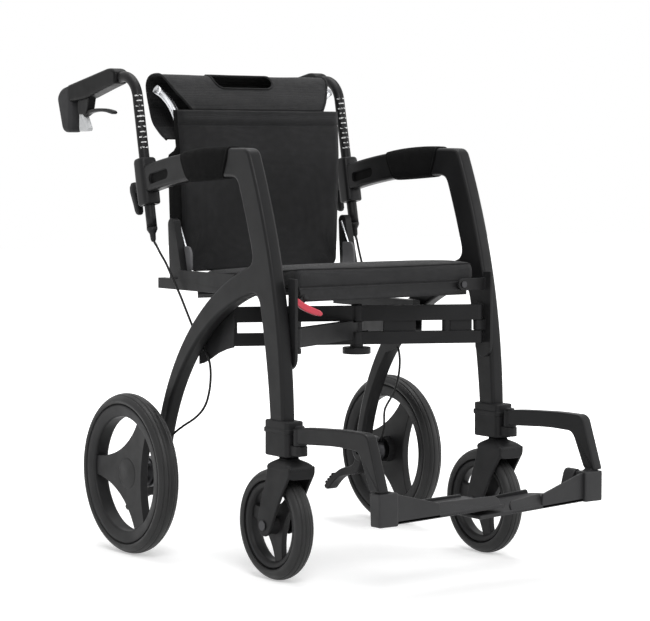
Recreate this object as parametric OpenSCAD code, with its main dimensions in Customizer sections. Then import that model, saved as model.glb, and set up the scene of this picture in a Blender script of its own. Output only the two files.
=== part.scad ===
// Rollator transport chair: two curved side frames joined by a scissor under the seat.
// Millimetres. X to the sitter's left, front towards -Y, Z up, floor at Z = 0.

/* [Side frames] */
// Distance between the centre planes of the two side frames
track = 472; // [460:1:490]
// Thickness of the frame members from side to side
member_w = 28; // [24:1:30]
// Depth of the armrest beam
armrest_depth = 52; // [44:1:60]
// How far the soft sleeve stands proud of the armrest
sleeve_t = 3.5; // [2:0.5:6]
// Length of the soft sleeve along the armrest
sleeve_len = 150; // [110:1:170]

/* [Wheels] */
// Outer diameter of the rear wheels
rear_wheel_d = 300; // [290:1:310]
// Width of the rear tyres
rear_tyre_w = 42; // [34:1:46]
// Height of the rear tyre section
rear_tyre_t = 19; // [14:1:24]
// Outer diameter of the caster wheels
caster_d = 196; // [180:1:204]
// Width of the caster tyres
caster_w = 38; // [30:1:40]
// Distance of the caster axle behind its swivel axis
caster_trail = 39; // [30:1:45]
// Diameter of the rear axles
axle_d = 12; // [10:1:14]

/* [Handles] */
// Diameter of the handle tubes
tube_d = 20; // [18:0.5:22]
// Lean of the handle tubes to the rear, in degrees
tube_lean = 11.35; // [9:0.05:14]
// Wall of the clamp collar round a handle tube
collar_wall = 7.5; // [5:0.5:10]
// Width of a handle housing
handle_w = 32; // [26:1:38]

/* [Seat] */
// Height of the seat top at its front edge
seat_h = 547; // [542:1:552]
// Thickness of the cushion at its edges
cushion_t = 33; // [28:1:36]
// Rise of the cushion's crown
crown = 4; // [0:0.5:8]
// Thickness of the seat board
board_t = 12; // [10:0.5:14]
// Slope of the seat to the rear, in degrees
rake = 4; // [2:0.5:5]

/* [Footrests] */
// Thickness of the hanger arms
hanger_t = 20; // [14:1:22]
// Depth of the footplates from front to rear
footplate_depth = 115; // [90:1:118]
// Thickness of the footplates
footplate_t = 7; // [5:0.5:8]

/* [Fits] */
// Diameter of the hinge pins
pin_d = 8; // [6:0.5:9]
// Radial running clearance of pins, axles and stems
fit = 0.05; // [0.02:0.01:0.1]
// Gap between faces that pass each other
side_gap = 1; // [0.5:0.1:1.5]

/* [Hidden] */
$fn = 64;
left = 1;
right = -1;
frame_black = "#222224";
plastic = "#2b2b2e";
fabric = "#2f3033";
rubber = "#1a1a1b";
alloy = "#b8bcc0";
grey = "#6a6d70";
red = "#c22c3c";

// The chair stands with its middle, between the hangers' front and the grips' rear, over the origin
hanger_front = -492;
grip_rear = 565;
frame_shift = -(hanger_front + grip_rear) / 2;
leg_x = track / 2;
inner_x = leg_x - member_w / 2;
outer_x = leg_x + member_w / 2;

// Front leg: front and rear edges are arcs, [y, z] of each centre and its radius
leg_front = [981, 255];
leg_front_r = 1205;
leg_rear = [1194, 169];
leg_rear_r = 1380;

// Rear arch: its upper edge, and how the lower edge's centre and radius differ from it
arch_upper = [-257, 102];
arch_upper_r = 468;
arch_step = [30, -7];
arch_depth = 51;
arch_lower = arch_upper + arch_step;
arch_lower_r = arch_upper_r - arch_depth;
axle_z = rear_wheel_d / 2;
function on_arc(c, r, z) = c[0] + sqrt(r * r - (z - c[1]) * (z - c[1]));
axle_y = (on_arc(arch_upper, arch_upper_r, axle_z) + on_arc(arch_lower, arch_lower_r, axle_z)) / 2;
axle_boss_r = 20;

// Armrest: one slow arc whose crest lies just behind the leg
arm_c = [-60, -632];
arm_r = 1362;
sleeve_y = -45;

// Handle tube: its lower end, its bend and its housing
tube_foot = [226, 591];
tube_len = 266;
tube_bend_r = 50;
tube_tail = 70;
tube_droop = 8;
collar_low = 60;
collar_len = 87;
tube_dir = [sin(tube_lean), cos(tube_lean)];
bend_start = tube_foot + tube_len * tube_dir;
bend_c = bend_start + tube_bend_r * [cos(tube_lean), -sin(tube_lean)];
bend_end = bend_c + tube_bend_r * [sin(tube_droop), cos(tube_droop)];
clamp_pivot = [286, 681];

// The handle is drawn for a bend that ends here, and goes where the bend ends
handle_ref = [334.3301, 891.4712];
handle_move = bend_end - handle_ref;
brake_pivot = [450, 862];

// Rear wheel, measured along X from the frame's outer face
wheel_gap = 35;
wheel_x = outer_x + wheel_gap;
rear_rim_t = 24;
hub_r = 24;
rear_hub_w = 30;
bearing_w = 8;
bearing_r = axle_d / 2 + 6;
drum_r = 29;
spoke_angle = 16;

// Caster, its fork and the socket that it turns in
caster_x = leg_x;
caster_y = -222;
caster_z = caster_d / 2;
caster_tyre_t = 20;
fork_gap = 3;
fork_wall = 6;
fork_in = caster_w / 2 + fork_gap;
fork_out = fork_in + fork_wall;
fork_leg_r = 22;
crown_low = caster_d + fork_gap;
crown_top = crown_low + 9;
socket_low = crown_top + 13;
stem_r = 7;
stem_len = 36;
socket_floor = socket_low + stem_len + 5;
socket_top = socket_low + 65;
caster_axle_d = 10;
caster_hub_r = 16;

// Footrest pintle, hanger and footplate hinge
pintle = [leg_x, -256];
pintle_d = 10;
hanger_z = 244;
plate_hinge = [leg_x - 22, 181];
plate_front = hanger_front + 2;
plate_inner = -27;

// Scissor under the seat, seen from above as an X; heights are taken down from the seat board's top
board_z = seat_h - cushion_t - crown / 2;
hinge_x = inner_x - 17;
hinge_y = -200;
cross_y = -100;
arm_len = 2 * sqrt(hinge_x * hinge_x + (cross_y - hinge_y) * (cross_y - hinge_y));
arm_angle = atan2(cross_y - hinge_y, hinge_x);
arm_w = 16;
double_low = [for (d = [115, 92]) board_z - d];
double_high = [for (d = [72, 44]) board_z - d];
single_z = [for (d = [104, 70]) board_z - d];
knuckle_z = [double_low[1] + side_gap, double_high[0] - side_gap];
knuckle_half = 30;
slide_travel = 236;
rail_w = 16;
right_rail_z = [for (d = [21, 1]) board_z - d];
left_rail_z = [for (d = [66, 46]) board_z - d];
hinge_plate_t = 6;

// Seat: board, cushion and the fore-and-aft hinge on the left side
seat_front = -196;
cushion_half = inner_x - 19;
cushion_rear = 145;
notch_x = 36 - inner_x;
notch_y = -18;
flip_x = inner_x - 57;
flip_z = board_z - board_t / 2;
flip_pin_d = 6;
front_ear_y = -207;
rear_ear_y = 154;
ear_t = 7;
seat_end_y = 147;

// Back posts, back tubes and the fabric back
post_x = [inner_x - 30, inner_x - 16];
post_foot_y = [160, 213];
post_top_y = [197, 221];
post_top = board_z + 112;
back_tube_d = 16;
back_tube_x = inner_x - 62;

// Front face of the hood, from its lower edge up, as [y, z]
hood_face = [[217, 752], [226, 832]];

// Brake cable on the left side, from the handle tube's end to the hub brake
cable_d = 4.5;
cable_sides = 8;
cable_square = 8;
drum_side = [-cos(45), sin(45)];
cable_start = [for (d = [0, cable_square]) concat([leg_x], tube_foot - d * tube_dir)];
cable_end = [for (d = [cable_square, 0.1])
    concat([outer_x + 12], [axle_y, axle_z] + (drum_r + d) * drum_side)];
cable_route = concat(cable_start, [for (p = [[-2, 216, 572], [-5, 207, 558], [-9, 195, 541],
    [-12, 182, 520], [-14, 168, 500], [-15.5, 152, 478], [-16.5, 134, 452], [-17.5, 114, 424],
    [-17.5, 96, 403], [-17.5, 78, 388], [-17.5, 62, 372], [-17.5, 55, 352], [-17.5, 55, 330],
    [-17.5, 60, 308]]) p + [leg_x, 0, 0]], [for (p = [[-17, -127.5, 286], [-15, -111.5, 268],
    [-10, -93.5, 254], [-2, -75.5, 242], [8, -59.5, 228], [17, -47.5, 212], [23, -38.5, 198]])
        p + [leg_x, axle_y, 0]], cable_end);

// Puts a left-hand shape on its side of the chair
module place(side = left) {
    translate([0, frame_shift, 0]) mirror([side == left ? 0 : 1, 0, 0]) children();
}

// Extrudes a side outline, drawn as [y, z], from x0 over a width w
module side_plate(x0, w) {
    translate([x0, 0, 0]) rotate([90, 0, 90]) linear_extrude(w) children();
}

// Extrudes a front outline, drawn as [x, z], from y0 over a depth d
module front_plate(y0, d) {
    translate([0, y0 + d, 0]) rotate([90, 0, 0]) linear_extrude(d) children();
}

// A cylinder along X from x0
module rod_x(x0, y, z, r, w) {
    translate([x0, y, z]) rotate([0, 90, 0]) cylinder(r = r, h = w);
}

// A cylinder along Y from y0
module rod_y(x, y0, z, r, d) {
    translate([x, y0, z]) rotate([-90, 0, 0]) cylinder(r = r, h = d);
}

// A rod between two points
module rod(a, b, r) {
    v = b - a;
    translate(a) rotate([0, acos(v[2] / norm(v)), atan2(v[1], v[0])]) cylinder(r = r, h = norm(v));
}

// A disc in the side plane
module disc2(c, r) {
    translate(c) circle(r, $fn = 180);
}

// Everything behind the leg's rear edge, and everything behind its front edge
module behind_leg() {
    disc2(leg_rear, leg_rear_r);
}

module leg_outline() {
    difference() {
        intersection() {
            disc2(leg_front, leg_front_r);
            disc2(arm_c, arm_r + armrest_depth / 2);
            translate([-300, socket_floor]) square([300, 600]);
        }
        behind_leg();
    }
}

module armrest_ring(depth) {
    difference() {
        disc2(arm_c, arm_r + depth / 2);
        disc2(arm_c, arm_r - depth / 2);
    }
}

// Brings children from the tube's own line, Z along the tube, to its place
module along_tube() {
    translate([leg_x, tube_foot[0], tube_foot[1]]) rotate([-tube_lean, 0, 0]) children();
}

module front_leg(side) color(frame_black) place(side) {
    side_plate(inner_x, member_w) leg_outline();
}

module armrest(side) color(frame_black) place(side) {
    slot_z = 704;
    slot_h = 20;
    slot_y = [160, 208];
    slot_depth = 5;
    collar_r = tube_d / 2 + collar_wall;
    lug_w = 16;
    difference() {
        union() {
            side_plate(inner_x, member_w) intersection() {
                armrest_ring(armrest_depth);
                behind_leg();
                translate([-200, 600]) square([448, 200]);
            }
            along_tube() translate([0, 0, collar_low]) cylinder(r = collar_r, h = collar_len);
            side_plate(leg_x - lug_w / 2, lug_w) {
                translate([246, clamp_pivot[1] - 9]) square([clamp_pivot[0] - 246, 18]);
                disc2(clamp_pivot, 9);
            }
        }
        along_tube() cylinder(r = tube_d / 2 + fit, h = tube_len);
        side_plate(outer_x - slot_depth, slot_depth + 1) {
            translate([slot_y[0], slot_z - slot_h / 2]) square([slot_y[1] - slot_y[0], slot_h]);
            for (y = slot_y) disc2([y, slot_z], slot_h / 2);
        }
        side_plate(leg_x - lug_w, 2 * lug_w) disc2(clamp_pivot, pin_d / 2 + fit);
    }
}

module armrest_sleeve(side) color(fabric) place(side) {
    difference() {
        side_plate(inner_x - sleeve_t, member_w + 2 * sleeve_t) intersection() {
            armrest_ring(armrest_depth + 2 * sleeve_t);
            translate([sleeve_y, 600]) square([sleeve_len, 200]);
        }
        side_plate(inner_x, member_w) armrest_ring(armrest_depth);
    }
}

module rear_arch(side) color(frame_black) place(side) {
    difference() {
        side_plate(inner_x, member_w) {
            intersection() {
                difference() {
                    disc2(arch_upper, arch_upper_r);
                    disc2(arch_lower, arch_lower_r);
                }
                behind_leg();
                translate([-250, axle_z]) square([500, 500]);
            }
            disc2([axle_y, axle_z], axle_boss_r);
        }
        rod_x(inner_x - 1, axle_y, axle_z, axle_d / 2, member_w + 2);
    }
}

module hinge_bracket(side) color(plastic) place(side) {
    plate_y = [-222, -178];
    plate_round = (plate_y[1] - plate_y[0]) / 2;
    plate_z = [for (d = [120, 42]) board_z - d];
    neck_top = board_z + 18;
    eye_r = 9;
    plate_x = inner_x - hinge_plate_t;
    lug_z = side == left ? [knuckle_z] : [[double_low[0], single_z[0] - side_gap],
        [single_z[1] + side_gap, single_z[1] + 12]];
    pin_z = side == left ? [double_low[0], double_high[1]] : [lug_z[0][0], lug_z[1][1]];
    side_plate(plate_x, hinge_plate_t) {
        translate([plate_y[0], plate_z[0]]) square([2 * plate_round, plate_z[1] - plate_z[0]]);
        disc2([plate_y[0] + plate_round, plate_z[0]], plate_round);
        translate([plate_y[0], plate_z[1] - 1]) square([seat_front - 4 - plate_y[0], neck_top - plate_z[1]]);
    }
    for (z = lug_z) translate([0, 0, z[0]]) {
        translate([hinge_x, hinge_y, 0]) cylinder(r = eye_r, h = z[1] - z[0]);
        translate([hinge_x, hinge_y - eye_r, 0]) cube([plate_x - hinge_x + 1, 2 * eye_r, z[1] - z[0]]);
    }
    translate([hinge_x, hinge_y, pin_z[0]]) cylinder(d = pin_d, h = pin_z[1] - pin_z[0]);
    if (side == left) difference() {
        front_plate(front_ear_y, ear_t) {
            disc2([flip_x, flip_z], 11);
            translate([flip_x, flip_z - 11]) square([plate_x + 1 - flip_x, 22]);
        }
        rod_y(flip_x, front_ear_y - 1, flip_z, flip_pin_d / 2, ear_t + 2);
    }
}

module back_post(side) color(plastic) place(side) {
    rail_z = side == left ? left_rail_z : right_rail_z;
    rail_y = [-16, slide_travel + 10];
    roof = 3;
    block_z = side == left ? left_rail_z : [right_rail_z[0] - 7, right_rail_z[0] + 9];
    block_d = side == left ? 24 : 16;
    block_in = side == left ? 47 : 18;
    arch_y = on_arc(arch_upper, arch_upper_r, (block_z[0] + block_z[1]) / 2);
    block_y = max(rail_y[0], arch_y - block_in);
    post_r = (post_top_y[1] - post_top_y[0]) / 2;
    foot_z = rail_z[1] - 1;
    foot_y = post_foot_y + (post_top_y - post_foot_y)
        * (foot_z - left_rail_z[1]) / (post_top - post_r - left_rail_z[1]);
    side_plate(post_x[0], post_x[1] - post_x[0]) {
        polygon([[foot_y[0], foot_z], [foot_y[1], foot_z],
            [post_top_y[1], post_top - post_r], [post_top_y[0], post_top - post_r]]);
        disc2([post_top_y[0] + post_r, post_top - post_r], post_r);
    }
    bracket_gap = 0.7;
    side_plate(hinge_x + arm_w / 2 + bracket_gap, 2)
        polygon([for (p = [[98, -155], [80, -151], [56, -141], [33, -130], [5, -121], [-18, -116]])
            p + [0, board_z], [-20, block_z[0] + 6], [10, block_z[0] + 6],
            [60, board_z - 60], [98, board_z - 100]]);
    if (side == right) translate([hinge_x + rail_w / 2 - 4.5, rail_y[0], rail_z[1] - 2])
        cube([4.5, foot_y[0] + 4 - rail_y[0], 19]);
    difference() {
        translate([hinge_x - rail_w / 2, rail_y[0], rail_z[0]])
            cube([rail_w, rail_y[1] - rail_y[0], rail_z[1] - rail_z[0]]);
        translate([hinge_x - pin_d / 2 - 0.5, -pin_d, rail_z[0] - 1])
            cube([pin_d + 1, slide_travel + pin_d, rail_z[1] - rail_z[0] - roof + 1]);
    }
    translate([hinge_x + rail_w / 2 - 1, block_y, block_z[0]])
        cube([inner_x - hinge_x - rail_w / 2 + 1, block_d, block_z[1] - block_z[0]]);
    if (side == left) difference() {
        front_plate(rear_ear_y, ear_t) {
            disc2([flip_x, flip_z], 11);
            translate([flip_x, flip_z - 11]) square([post_x[1] - flip_x, 22]);
        }
        rod_y(flip_x, rear_ear_y - 1, flip_z, flip_pin_d / 2, ear_t + 2);
    }
    if (side == left) translate([post_x[0], rear_ear_y, flip_z - 11])
        cube([post_x[1] - post_x[0], 24, 22]);
}

module back_tube(side) color(alloy) place(side) {
    r = back_tube_d / 2;
    foot_z = board_z + 10;
    bends = [[back_tube_x, 228, foot_z - 8], [back_tube_x, 240, 760], [back_tube_x, 264, 850],
        [back_tube_x - 20, 270, 868]];
    plate_t = 5;
    plate_x = post_x[0] - plate_t - 0.5;
    strut_x = plate_x + plate_t / 2;
    strut_r = 1.8;
    for (i = [0:len(bends) - 2]) rod(bends[i], bends[i + 1], r);
    for (b = bends) translate(b) sphere(r);
    rod([back_tube_x, 228, foot_z], [plate_x + 0.5, 188, foot_z], 4);
    side_plate(plate_x, plate_t) translate([164, foot_z - 8]) square([36, 58]);
    rod([strut_x, 184, foot_z + 48], [strut_x, 206, post_top - 12], strut_r);
}

module footrest_holder(side) color(plastic) place(side) {
    wall = 6;
    block_y = [-242, -166];
    pintle_r = 12;
    difference() {
        union() {
            translate([inner_x - wall, block_y[0], socket_low])
                cube([member_w + 2 * wall, block_y[1] - block_y[0], socket_top - socket_low]);
            translate([pintle[0], pintle[1], socket_low + 5]) {
                cylinder(r = pintle_r, h = hanger_z - 0.5 - socket_low - 5);
                translate([-pintle_r, 0, 0])
                    cube([2 * pintle_r, block_y[0] - pintle[1] + 1, hanger_z - 0.5 - socket_low - 5]);
                cylinder(d = pintle_d, h = hanger_z + 34 - socket_low - 5);
                translate([0, 0, hanger_z + 30 - socket_low - 5]) cylinder(d = pintle_d + 6, h = 4);
            }
        }
        side_plate(inner_x, member_w) leg_outline();
        translate([caster_x, caster_y, socket_low - 1]) cylinder(r = stem_r + fit, h = stem_len + 1.5);
    }
}

module rear_axle(side) color(grey) place(side) {
    step_x = outer_x + 20;
    cap_x = wheel_x + rear_hub_w + 0.3;
    rod_x(inner_x, axle_y, axle_z, axle_d / 2, cap_x + 1 - inner_x);
    rod_x(outer_x, axle_y, axle_z, drum_r, step_x - outer_x);
    rod_x(step_x, axle_y, axle_z, drum_r - 5, wheel_x - side_gap - step_x);
    rod_x(cap_x, axle_y, axle_z, axle_d / 2 + 8, 4);
}

module step_pedal(side) color(plastic) place(side) {
    w = member_w - 4;
    tip = [140.55, -84];
    ribs = 5;
    side_plate(leg_x - w / 2, w) translate([axle_y, axle_z]) difference() {
        union() {
            polygon([[0, 12], [64.55, 2], [147.55, -74], [132.55, -90], [56.55, -22], [0, -14]]);
            for (i = [0:ribs - 1]) disc2(tip + [-9 * i, 9 * i + 4], 9);
        }
        disc2([0, 0], axle_boss_r);
    }
}

// A tube swept along a route: one ring of points square to the run at each stop
function run_at(p, i) = let (a = p[max(i - 1, 0)], b = p[min(i + 1, len(p) - 1)]) (b - a) / norm(b - a);
function ring_at(c, d, r, n) = let (u = cross(d, [1, 0, 0]) / norm(cross(d, [1, 0, 0])), v = cross(d, u))
    [for (k = [0:n - 1]) c + r * (cos(360 * k / n) * u + sin(360 * k / n) * v)];
module swept_tube(route, r, n) {
    m = len(route);
    pts = [for (i = [0:m - 1]) each ring_at(route[i], run_at(route, i), r, n)];
    sides = [for (i = [0:m - 2], k = [0:n - 1]) let (a = i * n + k, b = i * n + (k + 1) % n)
        each [[a, a + n, b], [b, a + n, b + n]]];
    ends = [for (k = [1:n - 2]) each [[0, k, k + 1], [(m - 1) * n, (m - 1) * n + k + 1, (m - 1) * n + k]]];
    polyhedron(pts, concat(sides, ends));
}

module brake_cable(side) color(rubber) place(side) {
    swept_tube(cable_route, cable_d / 2, cable_sides);
}

module caster_fork(side) color(plastic) place(side) {
    crown_y = [-280, -155];
    leg_top = [-262, -160];
    axle = [caster_y + caster_trail, caster_z];
    difference() {
        union() {
            translate([caster_x - fork_out, crown_y[0], crown_low])
                cube([2 * fork_out, crown_y[1] - crown_y[0], crown_top - crown_low]);
            for (x = [-fork_out, fork_in]) side_plate(caster_x + x, fork_wall) {
                polygon([[leg_top[0], crown_low + 1], [leg_top[1], crown_low + 1],
                    [axle[0] + fork_leg_r, axle[1]], [axle[0] - fork_leg_r, axle[1]]]);
                disc2(axle, fork_leg_r);
            }
            translate([caster_x, caster_y, crown_top - 1]) cylinder(r = 22, h = socket_low - crown_top + 0.7);
            translate([caster_x, caster_y, crown_top])
                cylinder(r = stem_r, h = socket_low + stem_len - crown_top);
        }
        rod_x(caster_x - fork_out - 1, axle[0], axle[1], caster_axle_d / 2, 2 * fork_out + 2);
    }
}

module caster_axle(side) color(alloy) place(side) {
    y = caster_y + caster_trail;
    head_r = caster_axle_d / 2 + 4;
    rod_x(caster_x - fork_out, y, caster_z, caster_axle_d / 2, 2 * fork_out);
    for (x = [-fork_out - 3, fork_out]) rod_x(caster_x + x, y, caster_z, head_r, 3);
}

// A wheel centre lying along X: a rim band, a panel with three spokes that broaden inwards, a bored hub
function turned(p, a) = [p[0] * cos(a) - p[1] * sin(a), p[0] * sin(a) + p[1] * cos(a)];
module wheel_centre(rim_r, rim_t, rim_w, hub_x, hub_rad, bore_r, spoke_w, root_r, spoke_t) {
    spoke_r = rim_r - rim_t / 2;
    rotate([0, 90, 0]) difference() {
        union() {
            rotate_extrude($fn = 120) translate([rim_r - rim_t, -rim_w / 2]) square([rim_t, rim_w]);
            translate([0, 0, -spoke_t / 2]) linear_extrude(spoke_t)
                polygon([for (a = [0, 120, 240]) each [turned([spoke_r, -spoke_w / 2], a),
                    turned([spoke_r, spoke_w / 2], a), turned([root_r, 0], a + 60)]]);
            translate([0, 0, hub_x[0]]) cylinder(r = hub_rad, h = hub_x[1] - hub_x[0]);
        }
        translate([0, 0, hub_x[0] - 1]) cylinder(r = bore_r, h = hub_x[1] - hub_x[0] + 2);
    }
}

// A round-crowned tyre lying along X, with its two tread grooves
module tyre(outer_r, t, w, groove) {
    crown_r = w * 0.57;
    rotate([0, 90, 0]) rotate_extrude($fn = 120) difference() {
        intersection() {
            translate([outer_r - crown_r, 0]) circle(crown_r);
            translate([outer_r - t, -w / 2]) square([2 * t, w]);
        }
        for (s = [-1, 1]) translate([outer_r - groove * 2, s * w * 0.22 - groove / 2]) square([t, groove]);
    }
}

module caster_rim(side) color(plastic) place(side)
    translate([caster_x, caster_y + caster_trail, caster_z]) rotate([spoke_angle, 0, 0])
        wheel_centre(caster_d / 2 - caster_tyre_t, 14, caster_w - 10, [side_gap - fork_in, fork_in - side_gap],
            caster_hub_r, caster_axle_d / 2 + fit, 22, 28, 12);

module caster_tyre(side) color(rubber) place(side)
    translate([caster_x, caster_y + caster_trail, caster_z])
        tyre(caster_d / 2, caster_tyre_t, caster_w, 2);

module rear_rim(side) color(plastic) place(side)
    translate([wheel_x + rear_tyre_w / 2, axle_y, axle_z]) rotate([spoke_angle + 90, 0, 0])
        wheel_centre(rear_wheel_d / 2 - rear_tyre_t, rear_rim_t, rear_tyre_w - 6,
            [-rear_tyre_w / 2, rear_hub_w - rear_tyre_w / 2], hub_r, bearing_r, 36, 48, 16);

module rear_tyre(side) color(rubber) place(side)
    translate([wheel_x + rear_tyre_w / 2, axle_y, axle_z])
        tyre(rear_wheel_d / 2, rear_tyre_t, rear_tyre_w, 1.6);

module rear_bearings(side) color(alloy) place(side)
    for (x = [wheel_x, wheel_x + rear_hub_w - bearing_w]) difference() {
        rod_x(x, axle_y, axle_z, bearing_r, bearing_w);
        rod_x(x - 1, axle_y, axle_z, axle_d / 2 + fit, bearing_w + 2);
    }

module handle_tube(side) color(plastic) place(side) {
    tail = bend_end + tube_tail * [cos(tube_droop), -sin(tube_droop)];
    along_tube() cylinder(d = tube_d, h = tube_len);
    translate([leg_x, bend_c[0], bend_c[1]]) rotate([90, 0, 90]) rotate([0, 0, 90 - tube_droop])
        rotate_extrude(angle = 90 - tube_lean + tube_droop) translate([tube_bend_r, 0]) circle(d = tube_d);
    rod([leg_x, bend_end[0], bend_end[1]], [leg_x, tail[0], tail[1]], tube_d / 2);
}

// Brings children from where the handle is drawn to the end of the tube's bend
module at_handle() {
    translate([0, handle_move[0], handle_move[1]]) children();
}

grip_y = 520;
grip_z = [846, 880];
lever_w = 12;
lever_pin_d = 6;
module handle_body(side) color(plastic) place(side) {
    socket = [leg_x, bend_end[0], bend_end[1]];
    run = [0, cos(tube_droop), -sin(tube_droop)];
    difference() {
        at_handle() side_plate(leg_x - handle_w / 2, handle_w)
            polygon([[338, 903], [352, 908], [367, 909], [grip_y, grip_z[1]], [grip_y, grip_z[0]],
                [456, 853], [378, 871], [338, 879]]);
        rod(socket - 10 * run, socket + tube_tail * run, tube_d / 2);
        at_handle() translate([leg_x - lever_w / 2 - side_gap, 422, 820])
            cube([lever_w + 2 * side_gap, 62, 54]);
        at_handle() rod_x(leg_x - handle_w, brake_pivot[0], brake_pivot[1], lever_pin_d / 2 + fit, 2 * handle_w);
    }
}

module hand_grip(side) color(grey) place(side) at_handle() {
    grip_w = handle_w + 2;
    side_plate(leg_x - grip_w / 2, grip_w) {
        polygon([[grip_y, grip_z[1]], [550, 873], [grip_rear - 1, 860], [grip_rear, 832], [556, 800],
            [520, 800], [510, 808], [515, 832], [grip_y, grip_z[0]]]);
        disc2([538, 806], 18);
    }
}

module brake_lever(side) color(alloy) place(side) at_handle() {
    side_plate(leg_x - lever_w / 2, lever_w) {
        disc2(brake_pivot, 8);
        polygon([[447, 869], [458, 862], [452, 846], [430, 834], [400, 826], [366, 820], [364, 829],
            [398, 838], [424, 848]]);
        polygon([[443, 858], [458, 862], [476, 798], [470, 793], [463, 794]]);
    }
    rod_x(leg_x - handle_w / 2 + 2, brake_pivot[0], brake_pivot[1], lever_pin_d / 2, handle_w - 4);
}

module clamp_lever(side) color(plastic) place(side) {
    half = 14;
    cheek = 5;
    tip = [274, 632];
    for (x = [-half, half - cheek]) side_plate(leg_x + x, cheek) {
        disc2(clamp_pivot, 9);
        polygon([clamp_pivot + [-9, 0], clamp_pivot + [9, 0], tip + [12, 34], tip + [-6, 34]]);
    }
    side_plate(leg_x - half, 2 * half) {
        polygon([tip + [-6, 34], tip + [12, 34], tip + [9, 0], tip + [-7, 0]]);
        disc2(tip + [1, 0], 8);
    }
    rod_x(leg_x - half, clamp_pivot[0], clamp_pivot[1], pin_d / 2, 2 * half);
}

module footrest_hanger(side) color(frame_black) place(side) {
    eye_r = 12;
    arm_h = 29;
    block_y = [hanger_front, hanger_front + 24];
    block_r = 10;
    hanger_x = leg_x - hanger_t / 2;
    difference() {
        union() {
            side_plate(hanger_x, hanger_t)
                polygon([[pintle[1], hanger_z], [-407, 256], [-432, 252], [-446, 238], [-456, 200],
                    [-460, plate_hinge[1] - block_r], [block_y[0], plate_hinge[1] - block_r], [-490, 200],
                    [-478, 250], [-464, 273], [-448, 282], [-407, 285], [pintle[1], hanger_z + arm_h]]);
            translate([pintle[0], pintle[1], hanger_z]) cylinder(r = eye_r, h = arm_h);
            translate([plate_hinge[0], block_y[0], plate_hinge[1] - block_r])
                cube([hanger_x + 1 - plate_hinge[0], block_y[1] - block_y[0], 2 * block_r]);
            rod_y(plate_hinge[0], block_y[0], plate_hinge[1], block_r, block_y[1] - block_y[0]);
            rod_y(plate_hinge[0], block_y[0], plate_hinge[1], pin_d / 2, 56);
        }
        translate([pintle[0], pintle[1], hanger_z - 1]) cylinder(d = pintle_d + 2 * fit, h = arm_h + 2);
    }
}

// The right footplate laps over the left one at the middle
module footplate(side) color(plastic) place(side) {
    low_z = side == left ? [137, 126] : [134, 142];
    lip_x = side == left ? 44 : plate_inner + 8;
    outer = plate_hinge[0] + 8;
    knuckle_y = [-467, -438];
    knuckle_r = 10;
    slope = (low_z[1] - low_z[0]) / (plate_inner - outer);
    low_at = function (x) low_z[0] + slope * (x - outer);
    front_plate(plate_front, footplate_depth)
        polygon([[outer, low_z[0]], [plate_inner, low_z[1]], [plate_inner, low_z[1] + footplate_t],
            [outer, low_z[0] + footplate_t]]);
    front_plate(plate_front, 6)
        polygon([[outer, low_z[0] + 1], [lip_x, low_at(lip_x) + 1], [lip_x, low_at(lip_x) + 15],
            [outer - 60, low_at(outer - 60) + 26], [outer, low_z[0] + 34]]);
    front_plate(plate_front + footplate_depth - 5, 5)
        polygon([[outer, low_z[0] + 1], [lip_x, low_at(lip_x) + 1], [lip_x, low_at(lip_x) + 12],
            [outer, low_z[0] + 16]]);
    difference() {
        union() {
            front_plate(knuckle_y[0], knuckle_y[1] - knuckle_y[0])
                polygon([[plate_hinge[0] - knuckle_r, plate_hinge[1]],
                    [plate_hinge[0] + knuckle_r, plate_hinge[1]],
                    [plate_hinge[0] + knuckle_r - 2, low_z[0] + 2], [plate_hinge[0] - 24, low_z[0] + 2]]);
            rod_y(plate_hinge[0], knuckle_y[0], plate_hinge[1], knuckle_r, knuckle_y[1] - knuckle_y[0]);
        }
        rod_y(plate_hinge[0], knuckle_y[0] - 1, plate_hinge[1], pin_d / 2 + fit, 40);
    }
}

cross_pin_d = 10;
cross_boss_r = 12;
eye_r = 9;
module arm_bar(x0, x1, z) {
    translate([x0, -arm_w / 2, z[0]]) cube([x1 - x0, arm_w, z[1] - z[0]]);
}

// The arm that starts at the left front hinge: two rails, joined by posts near its ends
module scissor_double_arm() color(plastic) place()
    translate([hinge_x, hinge_y, 0]) rotate([0, 0, 180 - arm_angle]) {
        pin_top = right_rail_z[1] - 3 - side_gap;
        post_at = 60;
        difference() {
            union() {
                for (z = [double_low, double_high]) {
                    arm_bar(0, arm_len, z);
                    translate([0, 0, z[0]]) cylinder(r = eye_r, h = z[1] - z[0]);
                    translate([arm_len / 2, 0, z[0]]) cylinder(r = cross_boss_r, h = z[1] - z[0]);
                }
                for (x = [post_at, arm_len]) translate([x, 0, double_low[0]])
                    cylinder(d = arm_w, h = double_high[1] - double_low[0]);
                translate([arm_len, 0, double_low[0]]) cylinder(d = pin_d, h = pin_top - double_low[0]);
            }
            translate([0, 0, double_low[0] - 1]) cylinder(r = pin_d / 2 + fit, h = 100);
            translate([arm_len / 2, 0, double_low[0] - 1]) cylinder(d = cross_pin_d, h = 100);
        }
    }

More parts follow.
